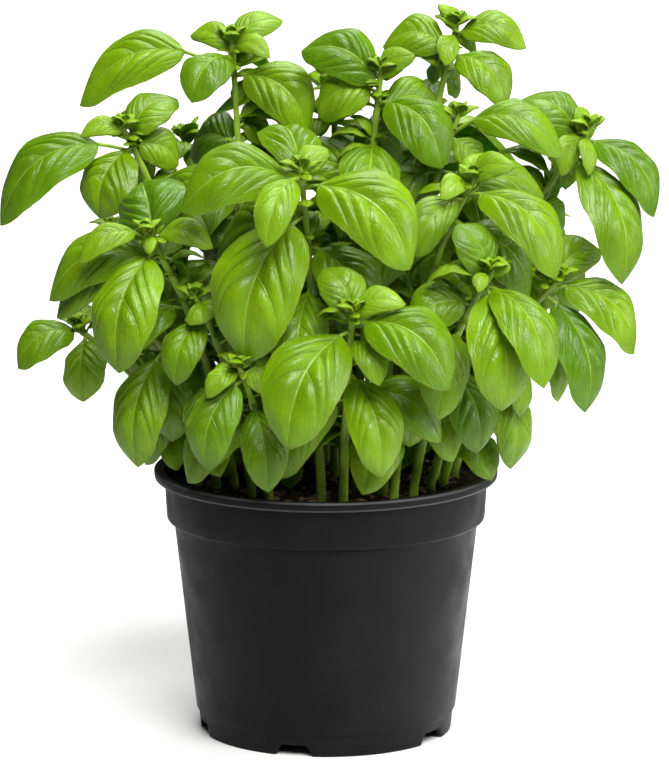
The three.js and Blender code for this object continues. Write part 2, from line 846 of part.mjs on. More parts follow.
// A round drain hole through the floor, inside a notch.
function drainSolid(angle) {
  const cut = new THREE.CylinderGeometry(
    DRAIN_RADIUS,
    DRAIN_RADIUS,
    DRAIN_CUT_HEIGHT,
    DRAIN_SIDES,
  );
  cut.rotateX(Math.PI / 2).translate(
    DRAIN_RING_RADIUS * Math.cos(angle),
    DRAIN_RING_RADIUS * Math.sin(angle),
    (FLOOR_BOTTOM + FLOOR_TOP) / 2,
  );
  return solidFrom(cut);
}

// How far the soil's crumbly top rises over its level.
function crumbHeight(x, y) {
  const { x: alongX, y: alongY, across, start } = CRUMB_WAVES;
  const rows = Math.sin(alongX * x + start) * Math.cos(alongY * y);
  return CRUMB_HEIGHT * (rows + Math.sin(across * (x - y)));
}

// The soil: it fills the pot to a little under the rim, its surface is crumbly, and each stem
// stands in a plain hole.
function soilSolid(shoots) {
  const inset = WALL + SOIL_GAP;
  const stepRise = STEP_THICKNESS + SOIL_FLOOR_GAP;
  const edge = COLLAR_TOP_RADIUS - inset;
  const profile = [
    [0, FLOOR_TOP + SOIL_FLOOR_GAP],
    [FLOOR_RADIUS - SOIL_GAP, FLOOR_TOP + SOIL_FLOOR_GAP],
    [WALL_FOOT_RADIUS - inset, WALL_FOOT],
    [WALL_TOP_RADIUS - inset, WALL_TOP + stepRise],
    [COLLAR_FOOT_RADIUS - inset, COLLAR_FOOT + stepRise],
    [edge, SOIL_TOP - 1],
    ...SOIL_RING_SHARES.map((share) => [edge * share, SOIL_TOP]),
    [0, SOIL_TOP],
  ];
  const geometry = lathe(profile, SOIL_SIDES);
  const position = geometry.getAttribute("position");
  for (let i = 0; i < position.count; i++)
    if (position.getZ(i) > SOIL_TOP - 0.5)
      position.setZ(i, SOIL_TOP + crumbHeight(position.getX(i), position.getY(i)));
  const holes = shoots.map((shoot) => {
    const radius = STEM_FOOT_RADIUS + HOLE_CLEARANCE;
    const up = new THREE.Vector3(0, 0, 1);
    const floor = new THREE.Vector3(...shoot.foot, SOIL_TOP - HOLE_DEPTH);
    const mouth = new THREE.Vector3(...shoot.foot, SOIL_TOP + HOLE_CUT_RISE);
    const apex = new THREE.Vector3(...shoot.foot, SOIL_TOP + HOLE_CUT_RISE + 1);
    return solidFrom(loft([floor, mouth].map((c) => stemRing(c, up, radius)), apex));
  });
  return solidFrom(geometry).subtract(joined(holes));
}

// Each piece with the colour and finish that it shows.
const POT_PLASTIC = { color: 0x2a2a2b, roughness: 0.42, metalness: 0 };
const POTTING_SOIL = { color: 0x2b1d14, roughness: 0.95, metalness: 0 };
const BASIL_GREEN = { color: 0x5f9a1e, roughness: 0.45, metalness: 0 };
function piece(name, solid, look) {
  const mesh = new THREE.Mesh(geometryFrom(solid), new THREE.MeshStandardMaterial(look));
  mesh.name = name;
  return mesh;
}

const shoots = growPlant();
const basil = new THREE.Group();
basil.name = "potted_basil";
basil.add(piece("pot", potSolid(), POT_PLASTIC));
basil.add(piece("soil", soilSolid(shoots), POTTING_SOIL));
for (const shoot of shoots) {
  const solid = joined([stemSolid(shoot), ...shoot.placed.map(leafSolid)]);
  basil.add(piece(shoot.name, solid, BASIL_GREEN));
}
export default basil;
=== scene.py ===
"""The looks of a potted basil plant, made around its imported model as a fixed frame.

The plant grows here by the same table and rules as in the model, so every leaf lies where the
model has it. Each leafy stem is one piece: a square stem, blades that swell between their side
veins, the small leaves that the model leaves out, and the tiny leaves round its growing tip. The
pot and the soil are finer surfaces on the model's own outline. Lengths are millimetres until a
mesh is made, and then metres.
"""
import math
from dataclasses import dataclass

import bpy
import numpy as np
from bpy.props import FloatProperty, FloatVectorProperty, IntProperty, PointerProperty
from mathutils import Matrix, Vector


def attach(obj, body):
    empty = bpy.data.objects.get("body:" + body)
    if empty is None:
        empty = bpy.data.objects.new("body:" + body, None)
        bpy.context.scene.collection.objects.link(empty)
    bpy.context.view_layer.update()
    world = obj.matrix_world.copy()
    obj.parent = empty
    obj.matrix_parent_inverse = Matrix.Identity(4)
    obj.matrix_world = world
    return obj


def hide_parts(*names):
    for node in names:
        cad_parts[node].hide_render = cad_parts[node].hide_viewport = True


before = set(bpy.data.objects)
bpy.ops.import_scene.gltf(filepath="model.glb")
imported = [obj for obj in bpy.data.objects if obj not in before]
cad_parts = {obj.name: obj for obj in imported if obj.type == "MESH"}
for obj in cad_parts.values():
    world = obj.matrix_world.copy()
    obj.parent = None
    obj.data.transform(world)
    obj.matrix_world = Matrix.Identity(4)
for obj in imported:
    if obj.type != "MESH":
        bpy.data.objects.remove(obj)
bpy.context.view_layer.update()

bl_info = {
    "name": "Potted basil",
    "version": (1, 0, 0),
    "blender": (4, 5, 0),
    "location": "View3D > Sidebar > Basil",
    "description": "A bushy basil plant in a black plastic nursery pot",
    "category": "Object",
}

MM = 0.001
DEG = math.pi / 180
SEED = 41

# Stems, as in the model
SOIL_TOP = 116
HOLE_DEPTH = 10
STEM_FOOT_RADIUS = 2.9
STEM_TIP_RADIUS = 1.5
STEM_FOOT_RISE = 2
STEM_LEAN = 0.3
STEM_RISE = 0.62
STEM_FLOOR_GAP = 0.4
STEM_STEPS = 60
TANGENT_REACH = 0.0001
BUD_LENGTH = 6.5

# Leaves, as in the model
PETIOLE_RADIUS = 0.95
BLADE_ASPECT = 1.95
PETIOLE_SHARE_LEAST = 0.1
PETIOLE_SHARE_MOST = 0.28
BLADE_ARCH = 0.06
BLADE_SAG = 0.23
LEAST_SAG = 0.01
TIP_HOOK = 0.06
HOOK_START = 0.7
BLADE_DOME = 0.34
MARGIN_PULL = 0.08
EDGE_WAVE = {"height": 0.06, "along": 17, "across": 2.3}
FACE_RISE = 0.7
FACE_FORWARD = 1.1
FACE_RADIUS = 130
OVATE_BASE = 0.55
OVATE_TIP = 0.6
STALK_REACH = 0.5

# Space kept between blades, as in the model
CELL = 2.5
CELL_SHIFT = 0.37
CELLS_X = 136
CELLS_Y = 136
CELLS_Z = 104
CELLS_FLOOR = 100
SAMPLES_ALONG = 40
SAMPLES_ACROSS = 17
BUD_SAMPLES = (0.3, 0.6, 1)
OWN_REACH = 12
POT_CLEARANCE = 2.2
OPEN_SOIL_RADIUS = 68.4
SHIFTS = (0, 0.1, -0.1, 0.2, -0.2, 0.32, -0.32, 0.46, -0.46, 0.6, -0.6)
TURNS_DEG = (0, 6, -6, 12, -12)
SHRINKS = (1, 0.9, 0.8)
TURN_COST = 0.06
SHRINK_COST = 3
RULED_TURNS = (0, 14, -14, 28, -28, 42, -42)
RULED_LIFTS = (0, 12, -12, 24, -24)
RULED_SHRINKS = (1, 0.86, 0.72)

# Shoots that the front shows. foot: where the stem leaves the soil. tip: its growing tip.
# leaves: distance of the leaf's node below the growing tip, then the leaf's point as x, y and z
# from the growing tip, then the blade's width.
FRONT_SHOOTS = [
    {
        "name": "stem_top_left", "foot": (-36, 8), "tip": (-43, 5, 322),
        "leaves": [
            (6, 23, 5, 10, 15), (8, -18, -25, -23, 23), (6, -20, 12, 2, 12),
            (16, -71, -5, -28, 26), (16, 35, -15, -38, 26), (40, 19, 15, -46, 22),
            (4, 17, -8, -5, 10), (50, -21, 20, -53, 26),
        ],
    },
    {
        "name": "stem_top_centre", "foot": (14, -8), "tip": (25, -20, 311),
        "leaves": [
            (8, -36, 8, 10, 25), (9, -29, -12, -20, 23), (4, 15, -5, 9, 12),
            (14, 28, -22, -39, 27), (18, 30, 20, -24, 22),
        ],
    },
    {
        "name": "stem_top_right", "foot": (30, 6), "tip": (60, 10, 328),
        "leaves": [
            (5, 32, -5, -8, 17), (3, -8, 0, 11, 7), (12, -34, 8, -9, 22),
            (4, -5, -15, -15, 11), (5, 10, 5, -12, 8), (14, 23, -15, -33, 22),
            (24, 3, 10, -30, 18),
        ],
    },
    {
        "name": "stem_upper_right", "foot": (24, -16), "tip": (60, -25, 291),
        "leaves": [(8, 47, -15, -14, 22), (10, 9, -15, -24, 15)],
    },
    {
        "name": "stem_right_high", "foot": (50, -4), "tip": (120, -15, 284),
        "leaves": [
            (6, 31, -10, -37, 24), (14, 17, -22, -66, 31), (4, -11, -18, -19, 13),
            (5, 0, -15, -17, 10), (3, -5, -2, 11, 11), (8, -30, 15, 14, 24),
            (30, -18, 10, -29, 18), (44, -10, 5, -45, 17),
        ],
    },
    {
        "name": "stem_right_inner", "foot": (26, -28), "tip": (66, -60, 268),
        "leaves": [
            (3, 18, -8, 8, 12), (3, -14, -12, -6, 11), (8, 38, -18, -40, 27),
            (10, -25, -15, -32, 18), (12, 34, 20, -10, 18),
        ],
    },
    {
        "name": "stem_right_middle", "foot": (40, -31), "tip": (74, -80, 229),
        "leaves": [
            (8, 6, -18, -58, 31), (9, 24, -10, -45, 26), (6, -16, 15, 25, 24),
            (2, 8, -5, 4, 9), (2, -6, -10, -6, 8), (22, -36, 5, -26, 22),
        ],
    },
    {
        "name": "stem_right_low", "foot": (54, -10), "tip": (106, -35, 218),
        "leaves": [
            (5, 36, -10, -33, 25), (10, 14, -12, -58, 26), (6, 21, 12, 11, 19),
            (25, 2, 5, -57, 16),
        ],
    },
    {
        "name": "stem_centre", "foot": (-2, -42), "tip": (-11, -80, 275),
        "leaves": [
            (8, -53, -8, -15, 29), (4, -15, -20, -27, 18), (3, 12, 5, 10, 13),
            (8, 49, -15, -40, 34), (22, -25, -20, -83, 40),
        ],
    },
    {
        "name": "stem_centre_low", "foot": (8, -46), "tip": (12, -100, 214),
        "leaves": [
            (5, -13, 15, 19, 20), (4, 23, -2, 6, 13), (7, 43, -12, -30, 30),
            (12, -29, -22, -55, 35), (20, 12, -5, -30, 14), (40, 13, 5, -74, 24),
        ],
    },
    {
        "name": "stem_left_middle", "foot": (-42, -16), "tip": (-80, -65, 244),
        "leaves": [
            (6, -4, 25, 21, 34), (4, -30, -8, -10, 14), (5, 36, -5, -4, 16),
            (1, 1, -8, -7, 7), (10, -14, -20, -58, 33), (20, -46, 14, -31, 26),
            (30, -43, 0, -40, 22),
        ],
    },
    {
        "name": "stem_left_high", "foot": (-46, 4), "tip": (-92, -15, 284),
        "leaves": [
            (6, 26, 12, 16, 24), (3, -20, -2, -2, 10), (9, 25, 6, -17, 18),
            (12, -58, -12, -41, 29), (9, -12, -25, -38, 30), (20, 6, 10, -23, 16),
        ],
    },
    {
        "name": "stem_left_low", "foot": (-58, -8), "tip": (-115, 5, 188),
        "leaves": [(3, -28, -8, -16, 22), (5, 2, -15, -31, 24)],
    },
    {
        "name": "stem_left_hanging", "foot": (-50, -18), "tip": (-76, -40, 190),
        "leaves": [(5, -11, -15, -54, 27), (15, 5, 0, -46, 20)],
    },
    {
        "name": "stem_left_front", "foot": (-26, -38), "tip": (-38, -90, 187),
        "leaves": [
            (3, -15, -5, -11, 11), (3, 14, -2, -11, 14), (8, -16, -10, -44, 23),
            (30, 12, 0, -55, 21),
        ],
    },
    {
        "name": "stem_front_right", "foot": (31, -41), "tip": (42, -60, 184),
        "leaves": [(8, -4, -5, -37, 20), (22, 19, -6, -48, 22)],
    },
    {
        "name": "stem_right_front", "foot": (48, -16), "tip": (85, -45, 187),
        "leaves": [(4, 4, -5, -29, 13), (15, 1, -8, -55, 20), (20, -11, 5, -42, 14)],
    },
    {
        "name": "stem_left_inner", "foot": (-34, -26), "tip": (-58, -62, 214),
        "leaves": [(12, -10, -12, -36, 20), (3, 3, -12, -8, 18)],
    },
]

# Shoots at the back and in the middle. heading: the way that the youngest leaf pair points, in
# degrees from +X.
BACK_SHOOTS = [
    {"name": "stem_back_top", "foot": (4, 20), "tip": (4, 36, 300), "heading": 20},
    {"name": "stem_back_left_top", "foot": (-24, 30), "tip": (-66, 62, 268), "heading": 75},
    {"name": "stem_back_right_top", "foot": (26, 30), "tip": (52, 66, 276), "heading": 120},
    {"name": "stem_back_centre", "foot": (0, 44), "tip": (-4, 98, 246), "heading": 10},
    {"name": "stem_back_left", "foot": (-40, 34), "tip": (-100, 50, 226), "heading": 150},
    {"name": "stem_back_right", "foot": (42, 28), "tip": (104, 48, 232), "heading": 30},
    {"name": "stem_back_left_low", "foot": (-30, 48), "tip": (-62, 98, 196), "heading": 60},
    {"name": "stem_back_right_low", "foot": (32, 48), "tip": (56, 102, 198), "heading": 140},
    {"name": "stem_back_low", "foot": (2, 58), "tip": (0, 112, 186), "heading": 95},
    {"name": "stem_right_side_low", "foot": (60, 14), "tip": (92, 44, 180), "heading": 80},
]

# Opposite leaf pairs down a shoot, each turned a quarter from the last: distance of the node
# below the growing tip, leaf length, how far the leaf rises above the level in degrees, width.
PAIRS = [
    (4, 17, 40, 10), (9, 34, 14, 18), (22, 54, -12, 28),
    (44, 62, -32, 33), (74, 54, -42, 29), (106, 44, -40, 24),
]
MOST_PAIRS = 8
FRONT_HEADING = 37
OUTWARD_DROOP = 18
OUTWARD_RADIUS = 30
HEADING_JITTER = 14
LIFT_JITTER = 9
LENGTH_JITTER = 0.1
LOWER_PAIR_STEP = 16
LOWER_PAIR_GAP = 21
LOWER_PAIR = (50, -24, 27)
LOWEST_PAIR = (32, -20, 18)
LOWEST_NODE = 24

# How far from the middle a leaf placed by rule may reach at a height.
CROWN = ((120, 84), (160, 102), (200, 121), (250, 131), (290, 106), (330, 40))

# Pot, as in the model
POT_HEIGHT = 124
RIM_RADIUS = 80
COLLAR_TOP_RADIUS = 75
COLLAR_TOP = 118
COLLAR_FOOT_RADIUS = 74
COLLAR_FOOT = 100.6
WALL_TOP_RADIUS = 70.7
WALL_TOP = 99.2
WALL_FOOT_RADIUS = 60.6
WALL_FOOT = 10.6
SKIRT_RADIUS = 59.6
SKIRT_TOP = 9.8
FOOT_RADIUS = 58.5
WALL = 1.3
STEP_THICKNESS = 0.9
FOOT_WALL = 1.9
FLOOR_RADIUS = 58.2
FLOOR_BOTTOM = 6
FLOOR_TOP = 7.6
NOTCHES_DEG = (-166, -104.5, -32.5, 39.5, 116)
NOTCH_TOP_WIDTH = 12
NOTCH_FOOT_WIDTH = 18
NOTCH_HEIGHT = 5.2
DRAIN_RADIUS = 4.5
DRAIN_RING_RADIUS = 45

# Soil, as in the model
SOIL_GAP = 0.7

# The model's own seeded draws: state times factor plus step, within range
DRAW_FACTOR = 1664525
DRAW_STEP = 1013904223
DRAW_RANGE = 4294967296

Y_AXIS = np.array([0.0, 1.0, 0.0])
Z_AXIS = np.array([0.0, 0.0, 1.0])


def unit(v):
    return v / np.linalg.norm(v)


# Where everything grows: the model's rules, step for step


class Draws:
    """Seeded draws, the same on every run."""

    def __init__(self, seed):
        self.state = seed

    def spread(self, amount):
        """A number between minus and plus the amount."""
        self.state = (self.state * DRAW_FACTOR + DRAW_STEP) % DRAW_RANGE
        return (2 * (self.state / DRAW_RANGE) - 1) * amount


@dataclass
class Shoot:
    """A stem's number, name, curve (foot, knee and tip), the model's leaves on it and the small
    leaves that only show here, and the way that its youngest pair points."""

    number: int
    name: str
    curve: tuple
    leaves: list
    small_leaves: list
    heading: float


@dataclass
class Leaf:
    """A leaf between its root on the stem and its point, with the directions of its blade."""

    shoot: int
    root: np.ndarray
    point: np.ndarray
    length: float
    along: np.ndarray
    up: np.ndarray
    side: np.ndarray
    plumb: np.ndarray
    width: float
    petiole: float


def stem_curve(shoot):
    """Foot, knee and tip of the quadratic curve on which a stem rises."""
    foot = np.array([*shoot["foot"], SOIL_TOP + STEM_FOOT_RISE], float)
    tip = np.array(shoot["tip"], float)
    knee = foot + np.array([STEM_LEAN, STEM_LEAN, STEM_RISE]) * (tip - foot)
    return foot, knee, tip


def curve_points(curve, share):
    """Points at shares of a quadratic curve: its three points weighted by Bernstein's rule."""
    foot, knee, tip = curve
    t = np.asarray(share, float)[..., None]
    return (1 - t) ** 2 * foot + 2 * (1 - t) * t * knee + t**2 * tip


def curve_tangent(curve, share):
    """The way that a curve goes at a share of it, from a point just before to one just after."""
    before = curve_points(curve, max(share - TANGENT_REACH, 0))
    return unit(curve_points(curve, min(share + TANGENT_REACH, 1)) - before)


def stem_node(curve, below):
    """The point on a stem at a distance back from its growing tip."""
    points = curve_points(curve, np.arange(STEM_STEPS, -1, -1) / STEM_STEPS)
    steps = np.linalg.norm(np.diff(points, axis=0), axis=1)
    walked = np.concatenate([[0], np.cumsum(steps)])
    at = int(np.searchsorted(walked[1:], below))
    if at >= STEM_STEPS:
        return points[-1]
    share = (below - walked[at]) / steps[at]
    return points[at] + (points[at + 1] - points[at]) * share


def stem_length(curve):
    """A stem's length: the sum of its short straight steps."""
    points = curve_points(curve, np.arange(STEM_STEPS + 1) / STEM_STEPS)
    return float(np.linalg.norm(np.diff(points, axis=0), axis=1).sum())


def stem_samples(curve):
    """Points along a stem and up through its bud, to mark the cells that it takes."""
    points = curve_points(curve, np.arange(STEM_STEPS * 2 + 1) / (STEM_STEPS * 2))
    bud = [curve[2] + curve_tangent(curve, 1) * share * BUD_LENGTH for share in BUD_SAMPLES]
    return np.concatenate([points, bud])


def make_leaf(shoot, root, point, width, sky=None):
    """A leaf whose upper side turns to the sky: up and outwards, and at the front towards the
    viewer, if no other way is given. Its stalk takes what the blade leaves of its length."""
    chord = point - root
    length = float(np.linalg.norm(chord))
    along = chord / length
    if sky is None:
        middle = root + chord * 0.5
        at_front = shoot <= len(FRONT_SHOOTS)
        depth = -FACE_FORWARD if at_front else middle[1] / FACE_RADIUS
        sky = unit(np.array([middle[0] / FACE_RADIUS, depth, FACE_RISE]))
    up = unit(sky - along * (sky @ along))
    plumb = Z_AXIS - along * along[2]
    plumb = plumb / math.sqrt(max(np.linalg.norm(plumb), LEAST_SAG))
    petiole = 1 - BLADE_ASPECT * width / length
    petiole = min(PETIOLE_SHARE_MOST, max(PETIOLE_SHARE_LEAST, petiole))
    side = np.cross(along, up)
    return Leaf(shoot, root, point, length, along, up, side, plumb, width, petiole)


def half_width(leaf, t, stalk=PETIOLE_RADIUS):
    """Half the blade's width at shares t from root to point: u^0.55 (1-u)^0.6 of its peak, where
    u is the share of the blade alone, and up to STALK_REACH never under the stalk's radius."""
    widest = OVATE_BASE / (OVATE_BASE + OVATE_TIP)
    peak = widest**OVATE_BASE * (1 - widest) ** OVATE_TIP
    u = np.clip((t - leaf.petiole) / (1 - leaf.petiole), 0, 1)
    ovate = u**OVATE_BASE * (1 - u) ** OVATE_TIP / peak
    return np.maximum(leaf.width / 2 * ovate, np.where(u < STALK_REACH, stalk, 0))


def blade_points(leaf, t, s, lift=0.0, half=None):
    """Points of the blade at shares t along it and s across it from -1 to 1. It arches up by
    4t(1-t), sags along the plumb line, hooks down over its last part, falls to its margins by
    s squared, and its margins wave by a sine."""
    half = half_width(leaf, t) if half is None else half
    hook = np.maximum(0, (t - HOOK_START) / (1 - HOOK_START)) ** 2
    phase = EDGE_WAVE["along"] * t + EDGE_WAVE["across"] * s + leaf.length
    wave = EDGE_WAVE["height"] * half * s * s * np.sin(phase)
    bow = 4 * t * (1 - t)
    height = leaf.length * (BLADE_ARCH * bow - TIP_HOOK * hook)
    height = height - BLADE_DOME * half * s * s + wave + lift
    across = half * s * (1 + MARGIN_PULL * (1 - s * s))
    return (
        leaf.root
        + (leaf.length * t)[..., None] * leaf.along
        + across[..., None] * leaf.side
        + (leaf.length * BLADE_SAG * bow)[..., None] * leaf.plumb
        + height[..., None] * leaf.up
    )


class Crown:
    """The crown's cells. near holds the number of the shoot that took a cell or one beside it,
    or -1 where two shoots are near, and here the number of the shoot in the cell itself. Leaves
    are tested and marked at a grid of points, t along and s across each blade."""

    SHARED = -1

    def __init__(self):
        self.near = np.zeros(CELLS_X * CELLS_Y * CELLS_Z, np.int16)
        self.here = np.zeros_like(self.near)
        t = np.arange(SAMPLES_ALONG + 1) / SAMPLES_ALONG
        s = 2 * np.arange(SAMPLES_ACROSS) / (SAMPLES_ACROSS - 1) - 1
        self.t, self.s = (grid.ravel() for grid in np.meshgrid(t, s, indexing="ij"))
        steps = np.arange(-1, 2)
        around = np.stack(np.meshgrid(steps, steps, steps, indexing="ij"), -1)
        self.around = around.reshape(-1, 3)

    def cells(self, points):
        """The cell that each point lies in, by its place along x, y and z."""
        low = np.array([0, 0, CELLS_FLOOR])
        middle = np.array([CELLS_X // 2, CELLS_Y // 2, 0])
        return np.floor((points - low + CELL_SHIFT) / CELL).astype(int) + middle

    def indices(self, cells):
        """Each cell's place in the flat lists near and here."""
        return (cells[..., 2] * CELLS_Y + cells[..., 1]) * CELLS_X + cells[..., 0]

    def take(self, points, number):
        """Marks the cells of points as a shoot's, and those beside them as near it."""
        cells = self.cells(points)
        self.here[self.indices(cells)] = number
        touched = np.unique(self.indices(cells[:, None] + self.around))
        free = (self.near[touched] == 0) | (self.near[touched] == number)
        self.near[touched] = np.where(free, number, self.SHARED)

    def samples(self, leaf):
        """Points on a leaf: its whole blade, and only the middle line of its stalk."""
        kept = (self.t >= leaf.petiole) | (self.s == 0)
        return blade_points(leaf, self.t[kept], self.s[kept])

    def is_clear(self, leaf, points):
        """True where a leaf is clear of the pot and soil, of other shoots' cells and the cells
        beside them, and past its own root also of its own shoot's cells."""
        radius = np.hypot(points[:, 0], points[:, 1])
        floor = np.where(radius > OPEN_SOIL_RADIUS, POT_HEIGHT, SOIL_TOP)
        outside = radius > RIM_RADIUS + POT_CLEARANCE
        if not np.all(outside | (points[:, 2] > floor + POT_CLEARANCE)):
            return False
        index = self.indices(self.cells(points))
        if np.any((self.near[index] != 0) & (self.near[index] != leaf.shoot)):
            return False
        apart = np.linalg.norm(points - leaf.root, axis=1) >= OWN_REACH
        return not np.any((self.here[index] != 0) & apart)

    def add_first_clear(self, trials, leaves):
        """Takes the first trial that is clear, if there is one, and adds it to the leaves."""
        for leaf in trials:
            points = self.samples(leaf)
            if self.is_clear(leaf, points):
                self.take(points, leaf.shoot)
                leaves.append(leaf)
                return


def crown_reach(z):
    """How far from the middle a leaf may reach at a height: straight lines between CROWN's."""
    above = [i for i, (height, _) in enumerate(CROWN) if height > z]
    step = max(1, above[0]) if above else len(CROWN) - 1
    (z0, reach0), (z1, reach1) = CROWN[step - 1], CROWN[step]
    return reach0 + (z - z0) * (reach1 - reach0) / (z1 - z0)


def bends():
    """The ways to bend a listed leaf clear, gentlest first, as shift, turn and shrink."""
    ways = [(shift, turn, shrink) for shift in SHIFTS for turn in TURNS_DEG for shrink in SHRINKS]
    cost = [abs(a) + TURN_COST * abs(b) + SHRINK_COST * (1 - c) for a, b, c in ways]
    return [ways[i] for i in sorted(range(len(ways)), key=lambda i: (cost[i], i))]


def bent(shoot, root, point, width, bend):
    """A listed leaf shifted in depth by a share of its length, turned in the picture's plane and
    shrunk."""
    shift, turn, shrink = bend
    x, y, z = chord = point - root
    y = y + float(np.linalg.norm(chord)) * shift
    angle = turn * DEG
    turned_x = x * math.cos(angle) + z * math.sin(angle)
    turned_z = z * math.cos(angle) - x * math.sin(angle)
    chord = np.array([turned_x, y, turned_z]) * shrink
    return make_leaf(shoot, root, root + chord, width * shrink)


def ruled_leaves(shoot, root, pair, heading, draws):
    """A pair rule's leaf at its heading, then the same with other headings, lifts and sizes.
    It droops more where it points outwards."""
    heading_jitter = draws.spread(HEADING_JITTER)
    lift_jitter = draws.spread(LIFT_JITTER)
    length_jitter = 1 + draws.spread(LENGTH_JITTER)
    length, lift, width = pair
    for shrink in RULED_SHRINKS:
        for lift_step in RULED_LIFTS:
            for turn in RULED_TURNS:
                azimuth = (heading + heading_jitter + turn) * DEG
                outward = math.cos(azimuth) * root[0] + math.sin(azimuth) * root[1]
                outward = outward / max(OUTWARD_RADIUS, math.hypot(root[0], root[1]))
                rise = (lift - OUTWARD_DROOP * outward + lift_jitter + lift_step) * DEG
                reach = length * length_jitter * shrink
                level = reach * math.cos(rise)
                offset = (level * math.cos(azimuth), level * math.sin(azimuth))
                point = root + np.array([*offset, reach * math.sin(rise)])
                if math.hypot(point[0], point[1]) <= crown_reach(point[2]):
                    yield make_leaf(shoot, root, point, width * shrink)


def lower_pairs(table, curve):
    """The pairs below a front shoot's listed leaves: smaller towards the soil."""
    lowest = max(leaf[0] for leaf in table["leaves"])
    room = stem_length(curve) - LOWEST_NODE - lowest - LOWER_PAIR_STEP
    pairs = []
    for i in range(max(0, math.floor(room / LOWER_PAIR_GAP) + 1)):
        age = i * LOWER_PAIR_GAP / max(room, 1)
        sizes = [(1 - age) * a + age * b for a, b in zip(LOWER_PAIR, LOWEST_PAIR)]
        pairs.append((lowest + LOWER_PAIR_STEP + i * LOWER_PAIR_GAP, *sizes))
    return pairs


def grow_plant():
    """All shoots with their placed leaves: listed leaves first, then the pairs by rule, the
    youngest of all shoots first, then the small leaves beside the larger ones' roots, and last
    the leaves that fill the inside."""
    crown, draws = Crown(), Draws(SEED)
    tables = FRONT_SHOOTS + BACK_SHOOTS
    shoots = [
        Shoot(i + 1, t["name"], stem_curve(t), [], [], t.get("heading", FRONT_HEADING * (i + 1)))
        for i, t in enumerate(tables)
    ]
    for shoot in shoots:
        crown.take(stem_samples(shoot.curve), shoot.number)
    ways = bends()
    for shoot, table in zip(shoots, tables):
        for below, x, y, z, width in table.get("leaves", []):
            root = stem_node(shoot.curve, below)
            point = shoot.curve[2] + np.array([x, y, z], float)
            trials = (bent(shoot.number, root, point, width, way) for way in ways)
            crown.add_first_clear(trials, shoot.leaves)
    pair_lists = [
        lower_pairs(table, shoot.curve) if "leaves" in table else PAIRS
        for shoot, table in zip(shoots, tables)
    ]
    for age in range(MOST_PAIRS):
        for shoot, pairs in zip(shoots, pair_lists):
            if age >= len(pairs) or pairs[age][0] > stem_length(shoot.curve) - LOWEST_NODE:
                continue
            below, *pair = pairs[age]
            root = stem_node(shoot.curve, below)
            for turn in (0, 180):
                heading = shoot.heading + 90 * age + turn
                trials = ruled_leaves(shoot.number, root, pair, heading, draws)
                crown.add_first_clear(trials, shoot.leaves)
    fill_axils(shoots, crown)
    fill_inside(shoots, crown)
    return shoots


# Fine form of the leafy stems

LARGE_LEAF = 24
MEDIUM_LEAF = 14
TINY_LEAF = 9
# Rows of a blade up to each of its side veins, and columns across half of it
LARGE_GRID = ((10, 6, 5, 5, 4), 11)
MEDIUM_GRID = ((7, 4, 3, 3, 2), 6)
SMALL_GRID = ((5, 2, 2, 1, 1), 4)
TINY_GRID = ((4, 2, 1, 1), 3)
STALK_ROWS = 3
LAST_ROW = 0.992
COLUMN_POWER = 1.4
RIB_TIP_SHARE = 0.25
RIB_BLEND = 0.05
STALK_FULL_WIDTH = 16
STALK_LEAST = 0.35
VEIN_GATHER = 1.67
VEIN_SWEEP = 0.8
VEIN_CURVE = 0.45
VEIN_START = 0.03
VEIN_SKEW = 0.1
FOLD_POWER = 0.85
CREASE = 0.1
CREASE_WIDTH = 0.2
POINT_START = 0.82
POINT_POWER = 0.33
FULLNESS = 0.06
FULL_FROM = 0.1
SCALLOPS = 9
SCALLOP_DEPTH = 0.018
# Where the swelling between side veins is full after midrib and base, where it ends, and the
# stretch before that end over which it fades
HILLS_ACROSS = (0.18, 0.88, 0.45)
HILLS_ALONG = (0.12, 0.95, 0.35)
CREASE_START = 0.1
BUD_CURL = 0.3
STEM_SECTION = 16
STEM_ROWS = 44
STEM_FACE = 0.76
STEM_SQUARE = 3.2
NODE_SWELL = 0.22
NODE_LENGTH = 2.6
BUD_RINGS = ((0.25, 0.9), (0.5, 0.55))
BUD_END = 0.62
# A stem's place where a leaf's is the share of side veins passed, as if before its blade
ON_STEM = -1

# The tiny leaves round a growing tip: place above it, rise in degrees, length, width.
ROSETTE = ((-1, 34, 12, 8), (0.4, 50, 9.6, 6.8), (1.6, 64, 7.4, 5.4), (2.6, 76, 5.4, 4))
ROSETTE_TURNS = (45, 225)
ROSETTE_SWAY = 9

# Small leaves in the angle between a larger leaf and its stem: length as a share of that leaf's
# width, rise in degrees, turn from that leaf, and how far it may reach out past its root.
AXIL_SIZES = (1.7, 1.35, 1.05, 0.85, 0.65, 0.5, 0.35)
AXIL_RISES = (20, 45, 0, -20)
AXIL_TURNS = (55, 85, 30, 115)
AXIL_ASPECT = 0.54
AXIL_LEAST_WIDTH = 14
AXIL_LIFT = 1.5
AXIL_OUT = 1

# Leaves that fill the plant's inside: how far below the tip each round starts, and its steps down
# a stem, their lengths and widths, rises and headings, how far out they may reach past their
# root on a front and on a back shoot, and how far forward on a front one.
INNER_STARTS = (16, 21)
INNER_STEP = 10
INNER_LEAVES = ((42, 23), (34, 19), (26, 13.5), (18, 10))
INNER_RISES = (-40, 45, -15, 15)
INNER_HEADINGS = (90, 120, 60, 150, 30, 180, 0, 210, 330, 240, 300, 270)
INNER_OUT = (2, 12)
INNER_FORWARD = 3


